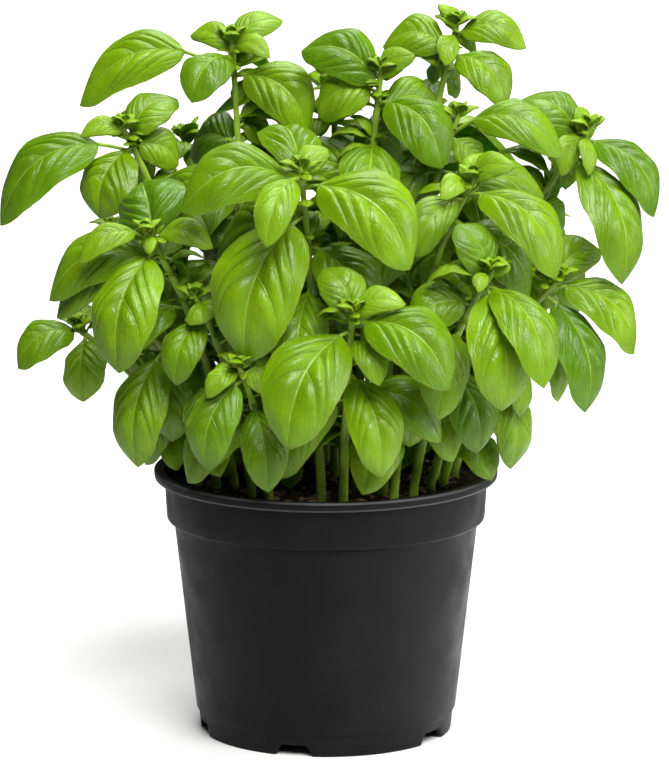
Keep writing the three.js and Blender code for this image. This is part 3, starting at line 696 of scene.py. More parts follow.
def closed_skin(rings, first=None, last=None):
    """Points, quads and triangles of rings of one size, one after another. The skin closes with
    a point at each end, or where there is none its last ring joins its first."""
    rows, count = rings.shape[:2]
    points = rings.reshape(-1, 3)
    i = np.arange(count)
    j = (i + 1) % count
    looped = first is None
    here = np.arange(rows if looped else rows - 1)[:, None] * count
    ahead = (here + count) % (rows * count)
    quads = np.stack([here + i, here + j, ahead + j, ahead + i], -1).reshape(-1, 4)
    if looped:
        return points, quads, np.zeros((0, 3), int)
    end = (rows - 1) * count
    start_fan = np.stack([np.full(count, rows * count), j, i], -1)
    end_fan = np.stack([np.full(count, rows * count + 1), end + i, end + j], -1)
    points = np.concatenate([points, [first, last]])
    return points, quads, np.concatenate([start_fan, end_fan])


def join_skins(skins):
    """One set of points, quads and triangles from several."""
    starts = np.cumsum([0] + [len(skin[0]) for skin in skins])
    points = np.concatenate([skin[0] for skin in skins])
    quads = np.concatenate([skin[1] + start for skin, start in zip(skins, starts)])
    triangles = np.concatenate([skin[2] + start for skin, start in zip(skins, starts)])
    return points, quads, triangles


def blade_share(q, s, skew):
    """The share u of a blade's length at q up its midrib and s across: u = r + (1 - r) h g, with
    r = q^1.67, g = r / (r + 0.03) and h = 0.8 (0.55|s| + 0.45 s^2). A line of one q leaves the
    midrib at a slant, sweeps forward and runs on beside the margin, as a side vein does."""
    r = q**VEIN_GATHER
    a = np.abs(s)
    sweep = VEIN_SWEEP * (1 + skew * np.sign(s)) * ((1 - VEIN_CURVE) * a + VEIN_CURVE * a * a)
    return r + (1 - r) * sweep * r / (r + VEIN_START)


def swell_and_fade(place, full, end, fade):
    """Rises in a straight line from 0 at 0 to 1 at full, and falls back to 0 before the end."""
    return np.clip(place / full, 0, 1) * np.clip((end - place) / fade, 0, 1)


def blade_relief(q, s, half, veins, pucker):
    """How far the blade swells from its plain form: up by |sin|^0.85 between side veins, fading
    out to midrib, margin and both ends, and down in a bell-shaped crease at the midrib."""
    hills = np.abs(np.sin(np.pi * veins * q)) ** FOLD_POWER
    a = np.abs(s)
    across = swell_and_fade(a, *HILLS_ACROSS)
    along = swell_and_fade(q, *HILLS_ALONG)
    crease = CREASE * np.exp(-((a / CREASE_WIDTH) ** 2)) * np.clip(q / CREASE_START, 0, 1)
    return half * (pucker * hills * across * along - crease)


def leaf_skin(leaf, look, curl=0.0):
    """A leaf's closed skin and the place of each point on it: share q of the side veins passed,
    s across from -1 to 1, and 1 on the underside. Rings run over the upper side from margin to
    margin, at sin(90 deg x^1.4), and back along the underside. The stalk is a round rod,
    r sqrt(1 - s^2), that goes on under the blade as its midrib. The blade thins to its margins
    by the same rule. It is 6% fuller than the solids' blades from a tenth of its length on, |sin|
    cuts shallow scallops into its margins, and from u = 0.82 they draw in by
    (1 - ((u - 0.82) / 0.18)^2)^0.33 to a point."""
    steps, half_columns = leaf_grid(leaf.width)
    rows = [(vein + np.arange(n) / n) / len(steps) for vein, n in enumerate(steps)]
    x = np.arange(half_columns + 1) / half_columns
    reach = np.sin(np.pi / 2 * x**COLUMN_POWER)
    across = np.concatenate([-reach[:0:-1], reach])
    inner = np.ones(len(across) - 2)
    s = np.concatenate([across, across[-2:0:-1]])
    upper = np.concatenate([[0], inner, [0], -inner])
    stalk_share = np.arange(STALK_ROWS) / STALK_ROWS
    q = np.concatenate([stalk_share - 1, *rows, [LAST_ROW]])[:, None]
    q, s, upper = np.broadcast_arrays(q, s, upper)
    skew = VEIN_SKEW * math.sin(leaf.length)
    u = np.where(q < 0, 0, blade_share(np.maximum(q, 0), s, skew))
    t = np.where(q < 0, leaf.petiole * (q + 1), leaf.petiole + (1 - leaf.petiole) * u)

    stalk = PETIOLE_RADIUS * np.clip(leaf.width / STALK_FULL_WIDTH, STALK_LEAST, 1)
    half = half_width(leaf, t, stalk) * (1 + FULLNESS * np.minimum(u / FULL_FROM, 1))
    scallops = SCALLOP_DEPTH * (1 - np.abs(np.sin(np.pi * SCALLOPS * u)))
    half = half * (1 - scallops * 4 * u * (1 - u))
    to_point = np.clip((u - POINT_START) / (1 - POINT_START), 0, 1)
    half = half * (1 - to_point**2) ** POINT_POWER
    rib = stalk * (1 - (1 - RIB_TIP_SHARE) * np.sqrt(u))
    rod = rib * np.sqrt(np.clip(1 - (s * half / rib) ** 2, 0, 1))
    sheet = look.thickness / MM / 2 * np.sqrt(1 - s * s)
    rod_above = rod * np.clip(1 - u / RIB_BLEND, 0, 1)
    lift = np.where(upper > 0, sheet + rod_above, -sheet - rod) * np.abs(upper)
    relief = blade_relief(np.maximum(q, 0), s, half, len(steps), look.pucker)
    lift = lift + relief - curl * half * s * s

    rings = blade_points(leaf, t, s, lift, half)
    ends = blade_points(leaf, np.array([0.0, 1.0]), np.zeros(2))
    place = np.stack([q, s, np.clip(-upper, 0, 1)], -1).reshape(-1, 3)
    return closed_skin(rings, ends[0], ends[1]), np.concatenate([place, [[-1, 0, 0], [1, 0, 0]]])


def leaf_grid(width):
    """A blade's rows and half its columns, fewer the narrower it is."""
    if width >= LARGE_LEAF:
        return LARGE_GRID
    if width >= MEDIUM_LEAF:
        return MEDIUM_GRID
    return SMALL_GRID if width >= TINY_LEAF else TINY_GRID


def stem_skin(shoot):
    """A stem's closed skin: a square section with rounded corners, where |x|^3.2 + |y|^3.2 stays
    the same, thinner to the tip, bell-shaped swellings where leaves leave it, and its bud."""
    foot, _, tip = shoot.curve
    rise = curve_tangent(shoot.curve, 1)
    share = np.linspace(0, 1, STEM_ROWS)
    centres = curve_points(shoot.curve, share)
    centres[0] = [foot[0], foot[1], SOIL_TOP - HOLE_DEPTH + STEM_FLOOR_GAP]
    tangents = [curve_tangent(shoot.curve, t) for t in share]
    tangents[0] = tangents[1] = Z_AXIS
    roots = np.array([leaf.root for leaf in shoot.leaves])
    apart = np.linalg.norm(centres[:, None] - roots, axis=-1).min(1)
    radius = STEM_FOOT_RADIUS + (STEM_TIP_RADIUS - STEM_FOOT_RADIUS) * share
    radius = radius * (1 + NODE_SWELL * np.exp(-((apart / NODE_LENGTH) ** 2)))
    bud = np.array([tip + above * BUD_LENGTH * rise for above, _ in BUD_RINGS])
    centres = np.concatenate([centres, bud])
    tangents = np.array(tangents + [rise] * len(BUD_RINGS))
    radius = np.concatenate([radius, [STEM_TIP_RADIUS * size for _, size in BUD_RINGS]])
    across = np.cross(Y_AXIS, tangents)
    across = across / np.linalg.norm(across, axis=1)[:, None]
    other = np.cross(tangents, across)
    angle = np.arange(STEM_SECTION) * 2 * np.pi / STEM_SECTION
    square = np.abs(np.cos(angle)) ** STEM_SQUARE + np.abs(np.sin(angle)) ** STEM_SQUARE
    reach = radius[:, None] * STEM_FACE * square ** (-1 / STEM_SQUARE)
    rings = (
        centres[:, None]
        + (reach * np.cos(angle))[..., None] * across[:, None]
        + (reach * np.sin(angle))[..., None] * other[:, None]
    )
    skin = closed_skin(rings, centres[0], tip + BUD_LENGTH * BUD_END * rise)
    place = np.zeros((len(skin[0]), 3))
    place[:, 0] = ON_STEM
    return skin, place


def small_leaf(shoot, root, heading, rise, length, width):
    """A small leaf whose upper side turns straight up and in."""
    level = length * math.cos(rise * DEG)
    offset = (level * math.cos(heading * DEG), level * math.sin(heading * DEG))
    point = root + np.array([*offset, length * math.sin(rise * DEG)])
    return make_leaf(shoot.number, root, point, width, Z_AXIS)


def bud_leaves(shoot):
    """The pairs of tiny leaves round a growing tip, each turned a quarter from the last."""
    tip, rise = shoot.curve[2], curve_tangent(shoot.curve, 1)
    leaves = []
    for i, (above, *form) in enumerate(ROSETTE):
        for turn in ROSETTE_TURNS:
            sway = ROSETTE_SWAY * math.sin(shoot.number + 3 * i)
            heading = shoot.heading + 90 * i + turn + sway
            leaves.append(small_leaf(shoot, tip + rise * above, heading, *form))
    return leaves


def axil_trials(shoot, leaf, side):
    """Small leaves that could grow beside a larger leaf's root, largest first. All but the
    smallest keep to the plant's inside, and at the front they turn away from the viewer."""
    heading = math.degrees(math.atan2(leaf.along[1], leaf.along[0]))
    root = leaf.root + Z_AXIS * AXIL_LIFT
    at_front = shoot.number <= len(FRONT_SHOOTS)
    for share in AXIL_SIZES:
        length = share * leaf.width
        for rise in AXIL_RISES:
            for turn in AXIL_TURNS:
                way = heading + side * turn
                small = small_leaf(shoot, root, way, rise, length, AXIL_ASPECT * length)
                out = np.hypot(*small.point[:2]) - np.hypot(*root[:2])
                hidden = out < AXIL_OUT and not (at_front and small.point[1] < root[1])
                if hidden or share == AXIL_SIZES[-1]:
                    yield small


def fill_axils(shoots, crown):
    """Gives each shoot the small leaves that have room beside its larger leaves' roots."""
    for shoot in shoots:
        for leaf in shoot.leaves:
            if leaf.width >= AXIL_LEAST_WIDTH:
                for side in (-1, 1):
                    crown.add_first_clear(axil_trials(shoot, leaf, side), shoot.small_leaves)


def inner_trials(shoot, root):
    """Leaves that could grow from a place on a stem, largest first. They keep to the plant's
    inside, and at the front they turn away from the viewer."""
    at_front = shoot.number <= len(FRONT_SHOOTS)
    most_out = INNER_OUT[0 if at_front else 1]
    for length, width in INNER_LEAVES:
        for rise in INNER_RISES:
            for heading in INNER_HEADINGS:
                leaf = small_leaf(shoot, root, heading, rise, length, width)
                out = np.hypot(*leaf.point[:2]) - np.hypot(*root[:2])
                if out < most_out and not (at_front and leaf.point[1] < root[1] - INNER_FORWARD):
                    yield leaf


def fill_inside(shoots, crown):
    """Gives each stem leaves wherever there is room left inside the plant, in two rounds: the
    second starts between the first one's places."""
    for start in INNER_STARTS:
        for shoot in shoots:
            lowest = stem_length(shoot.curve) - LOWEST_NODE
            for below in np.arange(start, lowest, INNER_STEP):
                root = stem_node(shoot.curve, below)
                crown.add_first_clear(inner_trials(shoot, root), shoot.small_leaves)


# Leaves given painted shade (the first list) and painted light (the second): they stand darker or
# lighter than their neighbours in the photo, by stem and place on it.
PAINTED_SHADE_LEAVES = {
    "stem_top_left": (1, 7), "stem_right_low": (1,), "stem_left_front": (2, 3),
    "stem_left_inner": (0, 4), "stem_right_middle": (2, 8), "stem_top_centre": (0,),
    "stem_right_high": (0,), "stem_left_middle": (0,),
}
PAINTED_LIGHT_LEAVES = {
    "stem_left_high": (4,), "stem_top_left": (3, 4), "stem_right_middle": (0,),
    "stem_centre": (3, 4), "stem_right_inner": (2,), "stem_left_middle": (1, 4),
    "stem_top_centre": (1,), "stem_left_low": (1,), "stem_right_low": (0,),
    "stem_left_hanging": (0,), "stem_centre_low": (5,),
}
PAINTED_SHADE_TONE = 0.05
PAINTED_LIGHT_TONE = 0.9
# All other leaves: the middle tone, and the spread of the bell curve that it is drawn from
MIDDLE_TONE = 0.5
TONE_SPREAD = 0.17
# Youth is 0 on a leaf as wide as the first number and full on one narrower by the second. It
# falls from YOUTH_AT_TIP by a whole over YOUTH_REACH down the stem, to YOUTH_LEAST.
YOUTH_WIDTHS = (27, 18)
YOUTH_AT_TIP = 1.3
YOUTH_REACH = 60
YOUTH_LEAST = 0.15
# A stem's youth, tone and vein count
STEM_GROWTH = (0.3, 0.5, 0.0)


def leafy_stem(shoot, look):
    """All skins of a leafy stem together. blade holds each point's place on its blade: share
    along, share across, underside. growth holds its youth, its own tone and its vein count."""
    draws = np.random.default_rng(SEED + shoot.number)
    skin, place = stem_skin(shoot)
    skins, places = [skin], [place]
    growth = [np.tile(STEM_GROWTH, (len(place), 1))]
    tip = shoot.curve[2]
    grown, narrower = YOUTH_WIDTHS
    for i, leaf in enumerate(shoot.leaves + shoot.small_leaves + bud_leaves(shoot)):
        veins = len(leaf_grid(leaf.width)[0])
        skin, place = leaf_skin(leaf, look, 0.0 if leaf.width >= TINY_LEAF else BUD_CURL)
        below = np.linalg.norm(tip - leaf.root)
        youth = np.clip((grown - leaf.width) / narrower, 0, 1)
        youth = youth * np.clip(YOUTH_AT_TIP - below / YOUTH_REACH, YOUTH_LEAST, 1)
        tone = np.clip(MIDDLE_TONE + TONE_SPREAD * draws.standard_normal(), 0, 1)
        # A listed leaf's tone is painted shade or painted light: dark for the first list, light for
        # the second.
        if i in PAINTED_SHADE_LEAVES.get(shoot.name, ()):
            tone = PAINTED_SHADE_TONE
        if i in PAINTED_LIGHT_LEAVES.get(shoot.name, ()):
            tone = PAINTED_LIGHT_TONE
        skins.append(skin)
        places.append(place)
        growth.append(np.tile([youth, tone, veins], (len(place), 1)))
    points, quads, triangles = join_skins(skins)
    attributes = {"blade": np.concatenate(places), "growth": np.concatenate(growth)}
    return points, quads, triangles, attributes


# Fine form of the pot

CORNER_STEPS = 4
RIM_ROUND = 1.3
WALL_ROUND = 0.4
COLLAR_ROUND = 1.0
FOOT_ROUND = 0.45
ROW_GAP = 6.0
# The rolled rim's corners: how far in from its radius and down from its top
RIM_CORNERS = ((4.9, 4.6), (0.3, 4.6), (0, 0), (4.6, 0))


def rounded_loop(corners):
    """A closed outline through corners of radius and height, each cut back by its own distance
    and rounded by a quadratic curve, with more points along its long stretches."""
    places = np.array([corner[:2] for corner in corners], float)
    cuts = [corner[2] for corner in corners]
    outline = []
    for i, cut in enumerate(cuts):
        before, here, after = places[i - 1], places[i], places[(i + 1) % len(places)]
        into, out = unit(here - before), unit(after - here)
        t = np.linspace(0, 1, CORNER_STEPS)[:, None]
        start, end = here - into * cut, here + out * cut
        outline.append((1 - t) ** 2 * start + 2 * (1 - t) * t * here + t**2 * end)
        stretch_end = after - out * cuts[(i + 1) % len(cuts)]
        steps = int(np.linalg.norm(stretch_end - end) // ROW_GAP)
        between = np.arange(1, steps + 1)[:, None] / (steps + 1)
        outline.append(end + (stretch_end - end) * between)
    return np.concatenate(outline)


def notch_height(angle):
    """How far a notch lifts the pot's foot at an angle: flat in the middle, sloped at its sides."""
    off = np.subtract.outer(np.array(NOTCHES_DEG) * DEG, angle)
    off = np.abs((off + np.pi) % (2 * np.pi) - np.pi).min(axis=0)
    slope = (NOTCH_FOOT_WIDTH - NOTCH_TOP_WIDTH) / 2
    return np.clip((NOTCH_FOOT_WIDTH / 2 - off * FOOT_RADIUS) / slope, 0, 1) * NOTCH_HEIGHT


def pot_wall(segments):
    """The pot's wall: its closed outline from notched foot to rolled rim and back down inside,
    turned round the pot's axis. Under the skirt's top, heights are squeezed up by the notches."""
    rim = [(RIM_RADIUS - inwards, POT_HEIGHT - down, RIM_ROUND) for inwards, down in RIM_CORNERS]
    corners = [
        (FOOT_RADIUS - FOOT_WALL, 0, FOOT_ROUND),
        (FOOT_RADIUS, 0, FOOT_ROUND),
        (SKIRT_RADIUS, SKIRT_TOP, FOOT_ROUND),
        (WALL_FOOT_RADIUS, WALL_FOOT, FOOT_ROUND),
        (WALL_TOP_RADIUS, WALL_TOP, WALL_ROUND),
        (COLLAR_FOOT_RADIUS, COLLAR_FOOT, COLLAR_ROUND),
        (COLLAR_TOP_RADIUS, COLLAR_TOP, WALL_ROUND),
        *rim,
        (COLLAR_TOP_RADIUS - WALL, COLLAR_TOP, WALL_ROUND),
        (COLLAR_FOOT_RADIUS - WALL, COLLAR_FOOT + STEP_THICKNESS, WALL_ROUND),
        (WALL_TOP_RADIUS - WALL, WALL_TOP + STEP_THICKNESS, WALL_ROUND),
        (WALL_FOOT_RADIUS - WALL, WALL_FOOT, WALL_ROUND),
        (FLOOR_RADIUS, FLOOR_TOP, FOOT_ROUND),
        (FOOT_RADIUS - FOOT_WALL, FLOOR_BOTTOM, FOOT_ROUND),
    ]
    outline = rounded_loop(corners)
    angle = np.arange(segments) * 2 * np.pi / segments
    radius, height = outline[:, :1], outline[:, 1:]
    foot = np.clip(1 - height / FLOOR_BOTTOM, 0, 1)
    height = height + foot * notch_height(angle)
    rings = np.stack([radius * np.cos(angle), radius * np.sin(angle), height], -1)
    return closed_skin(rings)


def pot_floor(segments=180, rings=26):
    """The pot's floor, a plate with drain holes: a round grid whose points in a hole are pushed
    out to its edge, without the faces inside, and with a wall down each hole and the plate."""
    angle = np.arange(segments) * 2 * np.pi / segments
    radius = np.linspace(0, FOOT_RADIUS - FOOT_WALL / 2, rings + 1)[1:]
    flat = np.stack([np.outer(radius, np.cos(angle)), np.outer(radius, np.sin(angle))], -1)
    flat = flat.reshape(-1, 2)
    hole_of = np.full(len(flat), -1)
    for i, degrees in enumerate(NOTCHES_DEG):
        turn = degrees * DEG
        centre = DRAIN_RING_RADIUS * np.array([math.cos(turn), math.sin(turn)])
        away = flat - centre
        apart = np.linalg.norm(away, axis=1)
        hole_of[apart < DRAIN_RADIUS] = i
        pushed = centre + away / apart[:, None] * DRAIN_RADIUS
        flat = np.where((apart < DRAIN_RADIUS)[:, None], pushed, flat)
    i = np.arange(segments)
    j = (i + 1) % segments
    here = np.arange(rings - 1)[:, None] * segments
    quads = np.stack([here + i, here + segments + i, here + segments + j, here + j], -1)
    quads = quads.reshape(-1, 4)
    inside = np.all(hole_of[quads] >= 0, axis=1)
    edges = np.stack([quads[inside], np.roll(quads[inside], -1, axis=1)], -1).reshape(-1, 2)
    _, first, times = np.unique(np.sort(edges, 1), axis=0, return_index=True, return_counts=True)
    edges = edges[first[times == 1]]
    rim = (rings - 1) * segments
    edges = np.concatenate([edges, np.stack([rim + j, rim + i], -1)])
    kept = quads[~inside]
    count = len(flat)
    top = np.column_stack([flat, np.full(count, FLOOR_TOP)])
    bottom = np.column_stack([flat, np.full(count, FLOOR_BOTTOM)])
    points = np.concatenate([top, bottom, [[0, 0, FLOOR_TOP], [0, 0, FLOOR_BOTTOM]]])
    walls = np.stack([edges[:, 0], edges[:, 1], edges[:, 1] + count, edges[:, 0] + count], -1)
    quads = np.concatenate([kept, kept[:, ::-1] + count, walls])
    centre_fan = np.stack([np.full(segments, 2 * count), i, j], -1)
    under_fan = np.stack([np.full(segments, 2 * count + 1), j + count, i + count], -1)
    return points, quads, np.concatenate([centre_fan, under_fan])


# Fine form of the soil

LATTICE = 64
CRUMB_HEIGHT = 0.65
CRUMB_WAVES = {"x": 0.31, "y": 0.37, "across": 0.23, "start": 1.7}
CRUMB_SIZES = ((11.0, 2.2), (4.6, 1.5), (2.1, 1.1))
SOIL_DEPTH = 14
SOIL_TAPER = 2

# A chip is a ball of a few rows of points between its poles, the first one this far along its
# steps from pole to pole.
CHIP_SIDES = 7
CHIP_ROWS = 4
CHIP_FIRST_ROW = 0.7
CHIP_STEPS = 4.4
CHIP_ROUGHNESS = 0.24
CHIP_TILT = 0.5
CHIP_LIFT = 0.3
# Half the length, width and thickness of the smallest and the largest, and how light they are
BARK_CHIPS = (((1.6, 1.0, 0.5), (4.6, 2.4, 1.3)), 1.0)
SOIL_CRUMBS = (((0.5, 0.5, 0.4), (1.5, 1.3, 1.0)), 0.35)


def hills(x, y, size, seed):
    """Smooth random hills from -0.5 to 0.5: random heights at the points of a square lattice,
    blended between them by 3f^2 - 2f^3."""
    lattice = np.random.default_rng(seed).random((LATTICE, LATTICE)) - 0.5
    i, j = np.floor(x / size).astype(int), np.floor(y / size).astype(int)
    f, g = x / size - i, y / size - j
    f, g = f * f * (3 - 2 * f), g * g * (3 - 2 * g)
    i, j, i2, j2 = i % LATTICE, j % LATTICE, (i + 1) % LATTICE, (j + 1) % LATTICE
    near = lattice[i, j] * (1 - f) + lattice[i2, j] * f
    far = lattice[i, j2] * (1 - f) + lattice[i2, j2] * f
    return near * (1 - g) + far * g


def soil_height(x, y):
    """The soil's surface: the model's waves, and hills of three sizes on them."""
    waves = np.sin(CRUMB_WAVES["x"] * x + CRUMB_WAVES["start"]) * np.cos(CRUMB_WAVES["y"] * y)
    waves = waves + np.sin(CRUMB_WAVES["across"] * (x - y))
    height = SOIL_TOP + CRUMB_HEIGHT * waves
    for number, (size, rise) in enumerate(CRUMB_SIZES):
        height = height + rise * hills(x, y, size, SEED + number)
    return height


def soil_skin(segments=180, rings=60):
    """The soil as a closed round cake: its crumbly top by rings from the edge in, and under the
    part that shows a plain side and base."""
    edge = COLLAR_TOP_RADIUS - WALL - SOIL_GAP
    angle = np.arange(segments) * 2 * np.pi / segments
    radius = edge * (1 - np.arange(rings)[:, None] / rings)
    x, y = radius * np.cos(angle), radius * np.sin(angle)
    top = np.stack([x, y, soil_height(x, y)], -1)
    lower_edge = edge - SOIL_TAPER
    low = np.full(segments, SOIL_TOP - SOIL_DEPTH)
    side = np.stack([lower_edge * np.cos(angle), lower_edge * np.sin(angle), low], -1)
    rings = np.concatenate([side[None], top])
    middle = soil_height(np.zeros(1), np.zeros(1))[0]
    return closed_skin(rings, [0, 0, SOIL_TOP - SOIL_DEPTH], [0, 0, middle])


def soil_chips(count, sizes, lightness, seed):
    """Angular chips on the soil: a few-sided ball with each point pushed in or out, stretched to
    its own length, width and thickness, tilted, turned, and set on the surface. Each has a tone
    from 0 to its lightness."""
    draws = np.random.default_rng(seed)
    down = np.pi * (np.arange(CHIP_ROWS) + CHIP_FIRST_ROW) / CHIP_STEPS
    side = np.arange(CHIP_SIDES) * 2 * np.pi / CHIP_SIDES
    ring = np.stack([np.cos(side), np.sin(side), np.zeros(CHIP_SIDES)], -1)
    ball = np.sin(down)[:, None, None] * ring + np.cos(down)[:, None, None] * -Z_AXIS
    points, quads, triangles = closed_skin(ball, -Z_AXIS, Z_AXIS)
    form = points * (1 + CHIP_ROUGHNESS * draws.uniform(-1, 1, (count, len(points), 1)))
    low, high = np.array(sizes, float)
    form = form * draws.uniform(low, high, (count, 3))[:, None]
    tilt = draws.uniform(-CHIP_TILT, CHIP_TILT, count)[:, None]
    turn = draws.uniform(0, 2 * np.pi, count)[:, None]
    x, y, z = np.moveaxis(form, -1, 0)
    x, z = x * np.cos(tilt) + z * np.sin(tilt), z * np.cos(tilt) - x * np.sin(tilt)
    x, y = x * np.cos(turn) - y * np.sin(turn), x * np.sin(turn) + y * np.cos(turn)
    radius = (COLLAR_TOP_RADIUS - WALL - SOIL_GAP - high[0]) * np.sqrt(draws.random(count))
    around = draws.uniform(0, 2 * np.pi, count)
    at_x, at_y = radius * np.cos(around), radius * np.sin(around)
    at_z = soil_height(at_x, at_y) + CHIP_LIFT * low[2]
    placed = np.stack([x + at_x[:, None], y + at_y[:, None], z + at_z[:, None]], -1)
    starts = (np.arange(count) * len(points))[:, None, None]
    tones = lightness * np.repeat(draws.random(count), len(points))
    quads, triangles = (quads + starts).reshape(-1, 4), (triangles + starts).reshape(-1, 3)
    return (placed.reshape(-1, 3), quads, triangles), np.stack([tones, tones, tones], -1)


# Meshes and finishes

# Where marks on a blade begin and end. From a side vein, as a share of the way to the next one:
VEIN_LINE = (0.01, 0.07)
# Painted shade in the crease beside a side vein, as a share of the way to the next one:
VALLEY_SHADE = (0.02, 0.22)
# across it, as a share of the way from midrib to margin:
MIDRIB_LINE = (0.012, 0.045)
VEINS_ACROSS = (0.5, 0.95)
MARGIN_LINE = (0.96, 1.0)
# along it, as a share of the side veins passed, which is under 0 on stalks and stems:
STALK_TO_BLADE = (-0.1, 0.04)
BLADE_BASE = (0.0, 0.05)
VEINS_ALONG = (0.55, 0.85)
# The net of finer veins: cells from one side vein to the next, cells from midrib to margin, a
# shift with the leaf's tone so that no two are alike, and where its lines begin and end
NET_CELLS = (2.2, 6.0, 40.0)
NET_LINE = (0.0, 0.16)
# How strongly each mark shows in a blade's colour. The valley mark is painted shade in the creases
# beside the side veins, and young leaves get less of it.
MARKS = {"valley_shade": 0.28, "net": 0.08, "vein": 0.4, "midrib": 0.5, "margin": 0.4, "under": 0.85}
YOUNG_VALLEY_SHADE = -0.18
PALE_VEIN = 0.5
# How deep each lies in its bump beside a side vein, and how much duller its underside is
DEPTHS = {"midrib": 0.8, "net": 0.28, "grain": 0.16}
UNDERSIDE_DULLER = 0.2

# Nearly all of a noise lies in this range.
NOISE_RANGE = (0.3, 0.7)
# How far the mould's rings stand out beside the plastic's grain, and the power of a chip's tone
# that makes few of them light
MOULD_RINGS = 0.18
CHIP_POWER = 1.6

# The rim's painted edge highlights, in metres: radius plus height from and to, radius less height
# from and to, and the lowest height under the rim's top
RIM_UPPER_HIGHLIGHT = (-0.0013, -0.0009)
RIM_LOWER_HIGHLIGHT = (0.0031, 0.0035)
RIM_UNDERSIDE = (-0.005, -0.0045)

# The painted light in the floor's colour for the light that it throws back: from and to a distance
# in metres, and its share there
BOUNCE_AWAY = (0.1, 0.8, 0.6, 0.1)
BOUNCE_TO_RIGHT = (0.0, 0.14, 0.9, 1.4)


def make_mesh(name, skin, attributes=None, smooth=True):
    """A mesh object at the origin from a skin in millimetres, with its point attributes."""
    points, quads, triangles = skin
    mesh = bpy.data.meshes.new(name)
    mesh.from_pydata((points * MM).tolist(), [], quads.tolist() + triangles.tolist())
    for key, values in (attributes or {}).items():
        layer = mesh.attributes.new(key, "FLOAT_VECTOR", "POINT")
        layer.data.foreach_set("vector", np.asarray(values, np.float32).ravel())
    if smooth:
        mesh.shade_smooth()
    piece = bpy.data.objects.new(name, mesh)
    bpy.context.scene.collection.objects.link(piece)
    return piece


def put_in_place(piece, material, slot, *nodes):
    """Gives a piece its finish and its body, and hides the model's nodes that it stands for. The
    slot is not used.
    """
    piece.data.materials.append(material)
    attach(piece, "root")
    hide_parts(*nodes)


class Tree:
    """Places shader nodes in a tree and joins them. A value is a number, a colour or a socket."""

    def __init__(self, tree):
        self.tree = tree

    def feed(self, socket, value):
        if isinstance(value, bpy.types.NodeSocket):
            self.tree.links.new(value, socket)
        elif socket.type == "RGBA" and len(value) == 3:
            socket.default_value = (*value, 1)
        else:
            socket.default_value = value

    def add(self, kind, inputs=None, **settings):
        node = self.tree.nodes.new(kind)
        for key, value in settings.items():
            setattr(node, key, value)
        for key, value in (inputs or {}).items():
            self.feed(node.inputs[key], value)
        return node

    def math(self, operation, *values):
        node = self.add("ShaderNodeMath", operation=operation)
        for socket, value in zip(node.inputs, values):
            self.feed(socket, value)
        return node.outputs[0]

    def times(self, first, second):
        return self.math("MULTIPLY", first, second)

    def ramp(self, value, low, high, to_low=0.0, to_high=1.0):
        """Carries a value from low..high to to_low..to_high, eased, and held outside."""
        node = self.add("ShaderNodeMapRange", interpolation_type="SMOOTHSTEP")
        for socket, number in zip(node.inputs, (value, low, high, to_low, to_high)):
            self.feed(socket, number)
        return node.outputs[0]

    def fall(self, value, low, high):
        """1 up to low and 0 from high on, eased between them."""
        return self.ramp(value, low, high, 1.0, 0.0)

    def mix(self, share, first, second, blend="MIX"):
        """The first colour, and by its share the second."""
        node = self.add("ShaderNodeMix", data_type="RGBA", blend_type=blend)
        for place, value in ((0, share), (6, first), (7, second)):
            self.feed(node.inputs[place], value)
        return node.outputs[2]

    def attribute(self, name):
        """The three numbers of a mesh attribute."""
        node = self.add("ShaderNodeAttribute", attribute_type="GEOMETRY", attribute_name=name)
        return self.add("ShaderNodeSeparateXYZ", {"Vector": node.outputs["Vector"]}).outputs

    def group(self, tree, **inputs):
        node = self.add("ShaderNodeGroup", node_tree=tree)
        for key, value in inputs.items():
            self.feed(node.inputs[key.capitalize()], value)
        return node.outputs[0]

    def grey(self, value):
        node = self.add("ShaderNodeCombineColor", {"Red": value, "Green": value, "Blue": value})
        return node.outputs[0]

    def place(self):
        return self.add("ShaderNodeTexCoord").outputs["Object"]

    def uneven(self, scale, least=0.0, most=1.0, detail=3.0):
        """Soft random patches from least to most."""
        return self.group(uneven_group(), scale=scale, detail=detail, least=least, most=most)

    def shaded(self, color, spread, scale):
        """A colour made lighter and darker by soft random patches."""
        return self.group(shaded_group(), color=color, spread=spread, scale=scale)

    def dress(self, surface, colour, rough, height=None, distance=None):
        """Gives a surface its colour, its roughness and the bump of a height times a distance."""
        self.feed(surface.inputs["Base Color"], colour)
        self.feed(surface.inputs["Roughness"], rough)
        if height is not None:
            bump = self.add("ShaderNodeBump", {"Height": height, "Distance": distance})
            self.feed(surface.inputs["Normal"], bump.outputs["Normal"])


def new_group(name, inputs, output):
    """A node group with named inputs and one output, each given with its kind of socket."""
    tree = bpy.data.node_groups.new(name, "ShaderNodeTree")
    for key, kind, value in inputs:
        socket = tree.interface.new_socket(key, in_out="INPUT", socket_type="NodeSocket" + kind)
        socket.default_value = value
    tree.interface.new_socket(output[0], in_out="OUTPUT", socket_type="NodeSocket" + output[1])
    entry, end = tree.nodes.new("NodeGroupInput"), tree.nodes.new("NodeGroupOutput")
    return Tree(tree), entry.outputs, end.inputs[0]


def uneven_group():
    """Soft random patches on Object coordinates, from Least to Most."""
    name = "Uneven patches"
    if name in bpy.data.node_groups:
        return bpy.data.node_groups[name]
    inputs = (("Scale", "Float", 100.0), ("Detail", "Float", 3.0), ("Least", "Float", 0.0),
              ("Most", "Float", 1.0))
    tree, entry, end = new_group(name, inputs, ("Value", "Float"))
    noise = {"Vector": tree.place(), "Scale": entry["Scale"], "Detail": entry["Detail"]}
    patches = tree.add("ShaderNodeTexNoise", noise).outputs["Fac"]
    tree.feed(end, tree.ramp(patches, *NOISE_RANGE, entry["Least"], entry["Most"]))
    return tree.tree


